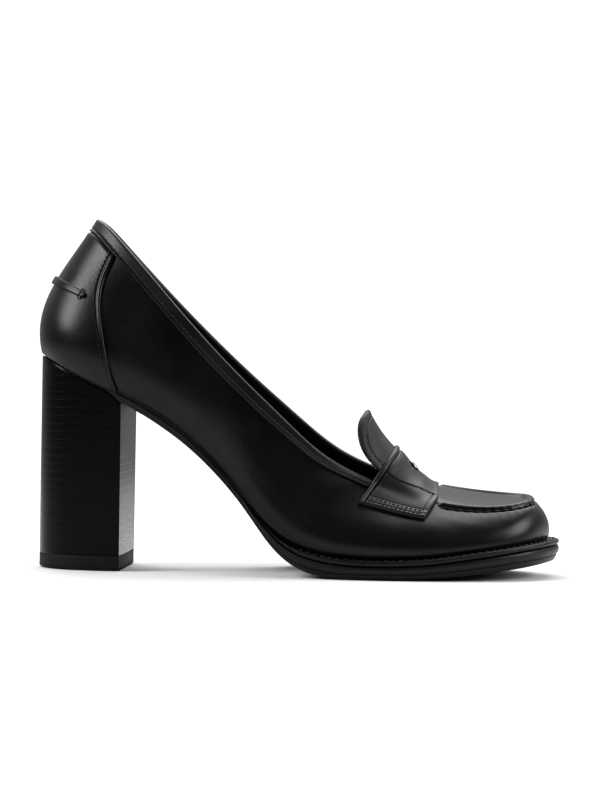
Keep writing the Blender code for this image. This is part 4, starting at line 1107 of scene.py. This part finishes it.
# a long lens nearly a metre off and level: angles in degrees, aimX in the shoe's millimetres, the rest in metres
camera = {"focal": 100.0, "distance": 0.9376, "azimuth": 3.7, "roll": 0.93, "aimX": 109.5, "height": 0.0752,
          "shift": -8.3 / 800}


def buildCamera():
    data = bpy.data.cameras.new("camera")
    data.lens, data.sensor_width, data.sensor_fit = camera["focal"], 36.0, "AUTO"
    data.shift_y = camera["shift"]
    data.clip_start, data.clip_end = 0.01, 50
    eye = bpy.data.objects.new("camera", data)
    bpy.context.scene.collection.objects.link(eye)
    azimuth, roll = math.radians(camera["azimuth"]), math.radians(camera["roll"])
    aimX, aimY = (camera["aimX"] - shoe["middle"][0]) * 0.001, -shoe["middle"][1] * 0.001
    eye.location = (aimX + camera["distance"] * math.sin(azimuth), aimY - camera["distance"] * math.cos(azimuth),
                    camera["height"])
    turn = Matrix.Rotation(azimuth, 3, "Z") @ Matrix.Rotation(math.pi / 2, 3, "X") @ Matrix.Rotation(roll, 3, "Z")
    eye.rotation_euler = turn.to_euler("XYZ")
    bpy.context.scene.camera = eye


def softbox(name, place, aim, size, power):  # a rectangle of soft light that faces its aim
    data = bpy.data.lights.new(name, "AREA")
    data.shape, data.size, data.size_y, data.energy = "RECTANGLE", size[0], size[1], power
    light = bpy.data.objects.new(name, data)
    bpy.context.scene.collection.objects.link(light)
    light.location = place
    light.rotation_euler = (Vector(aim) - Vector(place)).to_track_quat("-Z", "Y").to_euler()


# the floor's grey and radius, and from where to where it turns into the backdrop's white; the room's light from the
# camera's side, from behind, and how much more from above; each softbox's place, aim, size and power
studioLook = {
    "floor": 0.86, "floorRadius": 0.8, "fade": (0.12, 0.5), "front": 0.09, "back": 0.38, "above": 1.1, "softboxes": {
        "topLight": ((0.05, 0.6, 1.0), (0.0, 0.0, 0.05), (1.3, 0.8), 10.5),
        "leftLight": ((-0.92, -0.35, 0.72), (-0.08, 0.0, 0.12), (0.45, 0.6), 10),
        "rightLight": ((1.0, -0.12, 0.52), (0.09, 0.0, 0.05), (0.5, 0.6), 6.5),
    },
}


def buildFloor():
    # Pale painted floor: matt near the shoe, turning into the white of the backdrop further out
    floorPaint, tree, place = newMaterial("paleFloor")
    paint = addNode(tree, "ShaderNodeBsdfPrincipled",
                    {"Base Color": (studioLook["floor"],) * 3 + (1,), "Roughness": 0.9, "Specular IOR Level": 0.0})
    far = addNode(tree, "ShaderNodeVectorMath", {"operation": "LENGTH"}, {0: place})
    start, end = studioLook["fade"]
    fade = addNode(tree, "ShaderNodeMapRange",
                   {"interpolation_type": "SMOOTHSTEP", "From Min": start, "From Max": end},
                   {"Value": far.outputs["Value"]})
    glow = addNode(tree, "ShaderNodeEmission", {"Color": (1, 1, 1, 1), "Strength": 1.0})
    both = addNode(tree, "ShaderNodeMixShader", {},
                   {0: fade.outputs["Result"], 1: paint.outputs["BSDF"], 2: glow.outputs["Emission"]})
    addNode(tree, "ShaderNodeOutputMaterial", {}, {"Surface": both.outputs["Shader"]})
    turn = np.arange(96) * tau / 96
    ring = np.column_stack([np.cos(turn), np.sin(turn), turn * 0]) * studioLook["floorRadius"]
    mesh = bpy.data.meshes.new("floor")
    mesh.from_pydata([tuple(p) for p in ring], [], [tuple(range(len(ring)))])
    mesh.materials.append(floorPaint)
    floor = bpy.data.objects.new("floor", mesh)
    floor.location = (0, 0, -0.0004)
    bpy.context.scene.collection.objects.link(floor)


def buildRoom():
    # the light of the room: stronger from behind the shoe and from above, while the camera itself sees plain white
    world = bpy.data.worlds.new("studio")
    bpy.context.scene.world = world
    world.use_nodes = True
    tree = world.node_tree
    tree.nodes.clear()
    seen = addNode(tree, "ShaderNodeLightPath")
    way = addNode(tree, "ShaderNodeSeparateXYZ", {}, {0: addNode(tree, "ShaderNodeTexCoord").outputs["Generated"]})
    level = addNode(tree, "ShaderNodeMapRange", {"interpolation_type": "SMOOTHSTEP", "From Min": -0.2, "From Max": 0.7,
                    "To Min": studioLook["front"], "To Max": studioLook["back"]}, {"Value": way.outputs["Y"]})
    lift = addNode(tree, "ShaderNodeMapRange", {"interpolation_type": "SMOOTHSTEP", "From Min": 0.1, "From Max": 0.6,
                   "To Min": 1.0, "To Max": 1.0 + studioLook["above"]}, {"Value": way.outputs["Z"]})
    glow = addNode(tree, "ShaderNodeMath", {"operation": "MULTIPLY"},
                   {0: level.outputs["Result"], 1: lift.outputs["Result"]})
    pale = addNode(tree, "ShaderNodeBackground", {"Color": (1, 1, 1, 1), "Strength": 1.0})
    room = addNode(tree, "ShaderNodeBackground", {"Color": (1, 1, 1, 1)}, {"Strength": glow.outputs["Value"]})
    mixed = addNode(tree, "ShaderNodeMixShader", {},
                    {0: seen.outputs["Is Camera Ray"], 1: room.outputs["Background"], 2: pale.outputs["Background"]})
    addNode(tree, "ShaderNodeOutputWorld", {}, {"Surface": mixed.outputs["Shader"]})


buildCamera()
buildFloor()
for name, light in studioLook["softboxes"].items():
    softbox(name, *light)
buildRoom()
bpy.context.scene.view_settings.view_transform = "Standard"
bpy.context.scene.view_settings.look = "Medium High Contrast"
print("studio done")
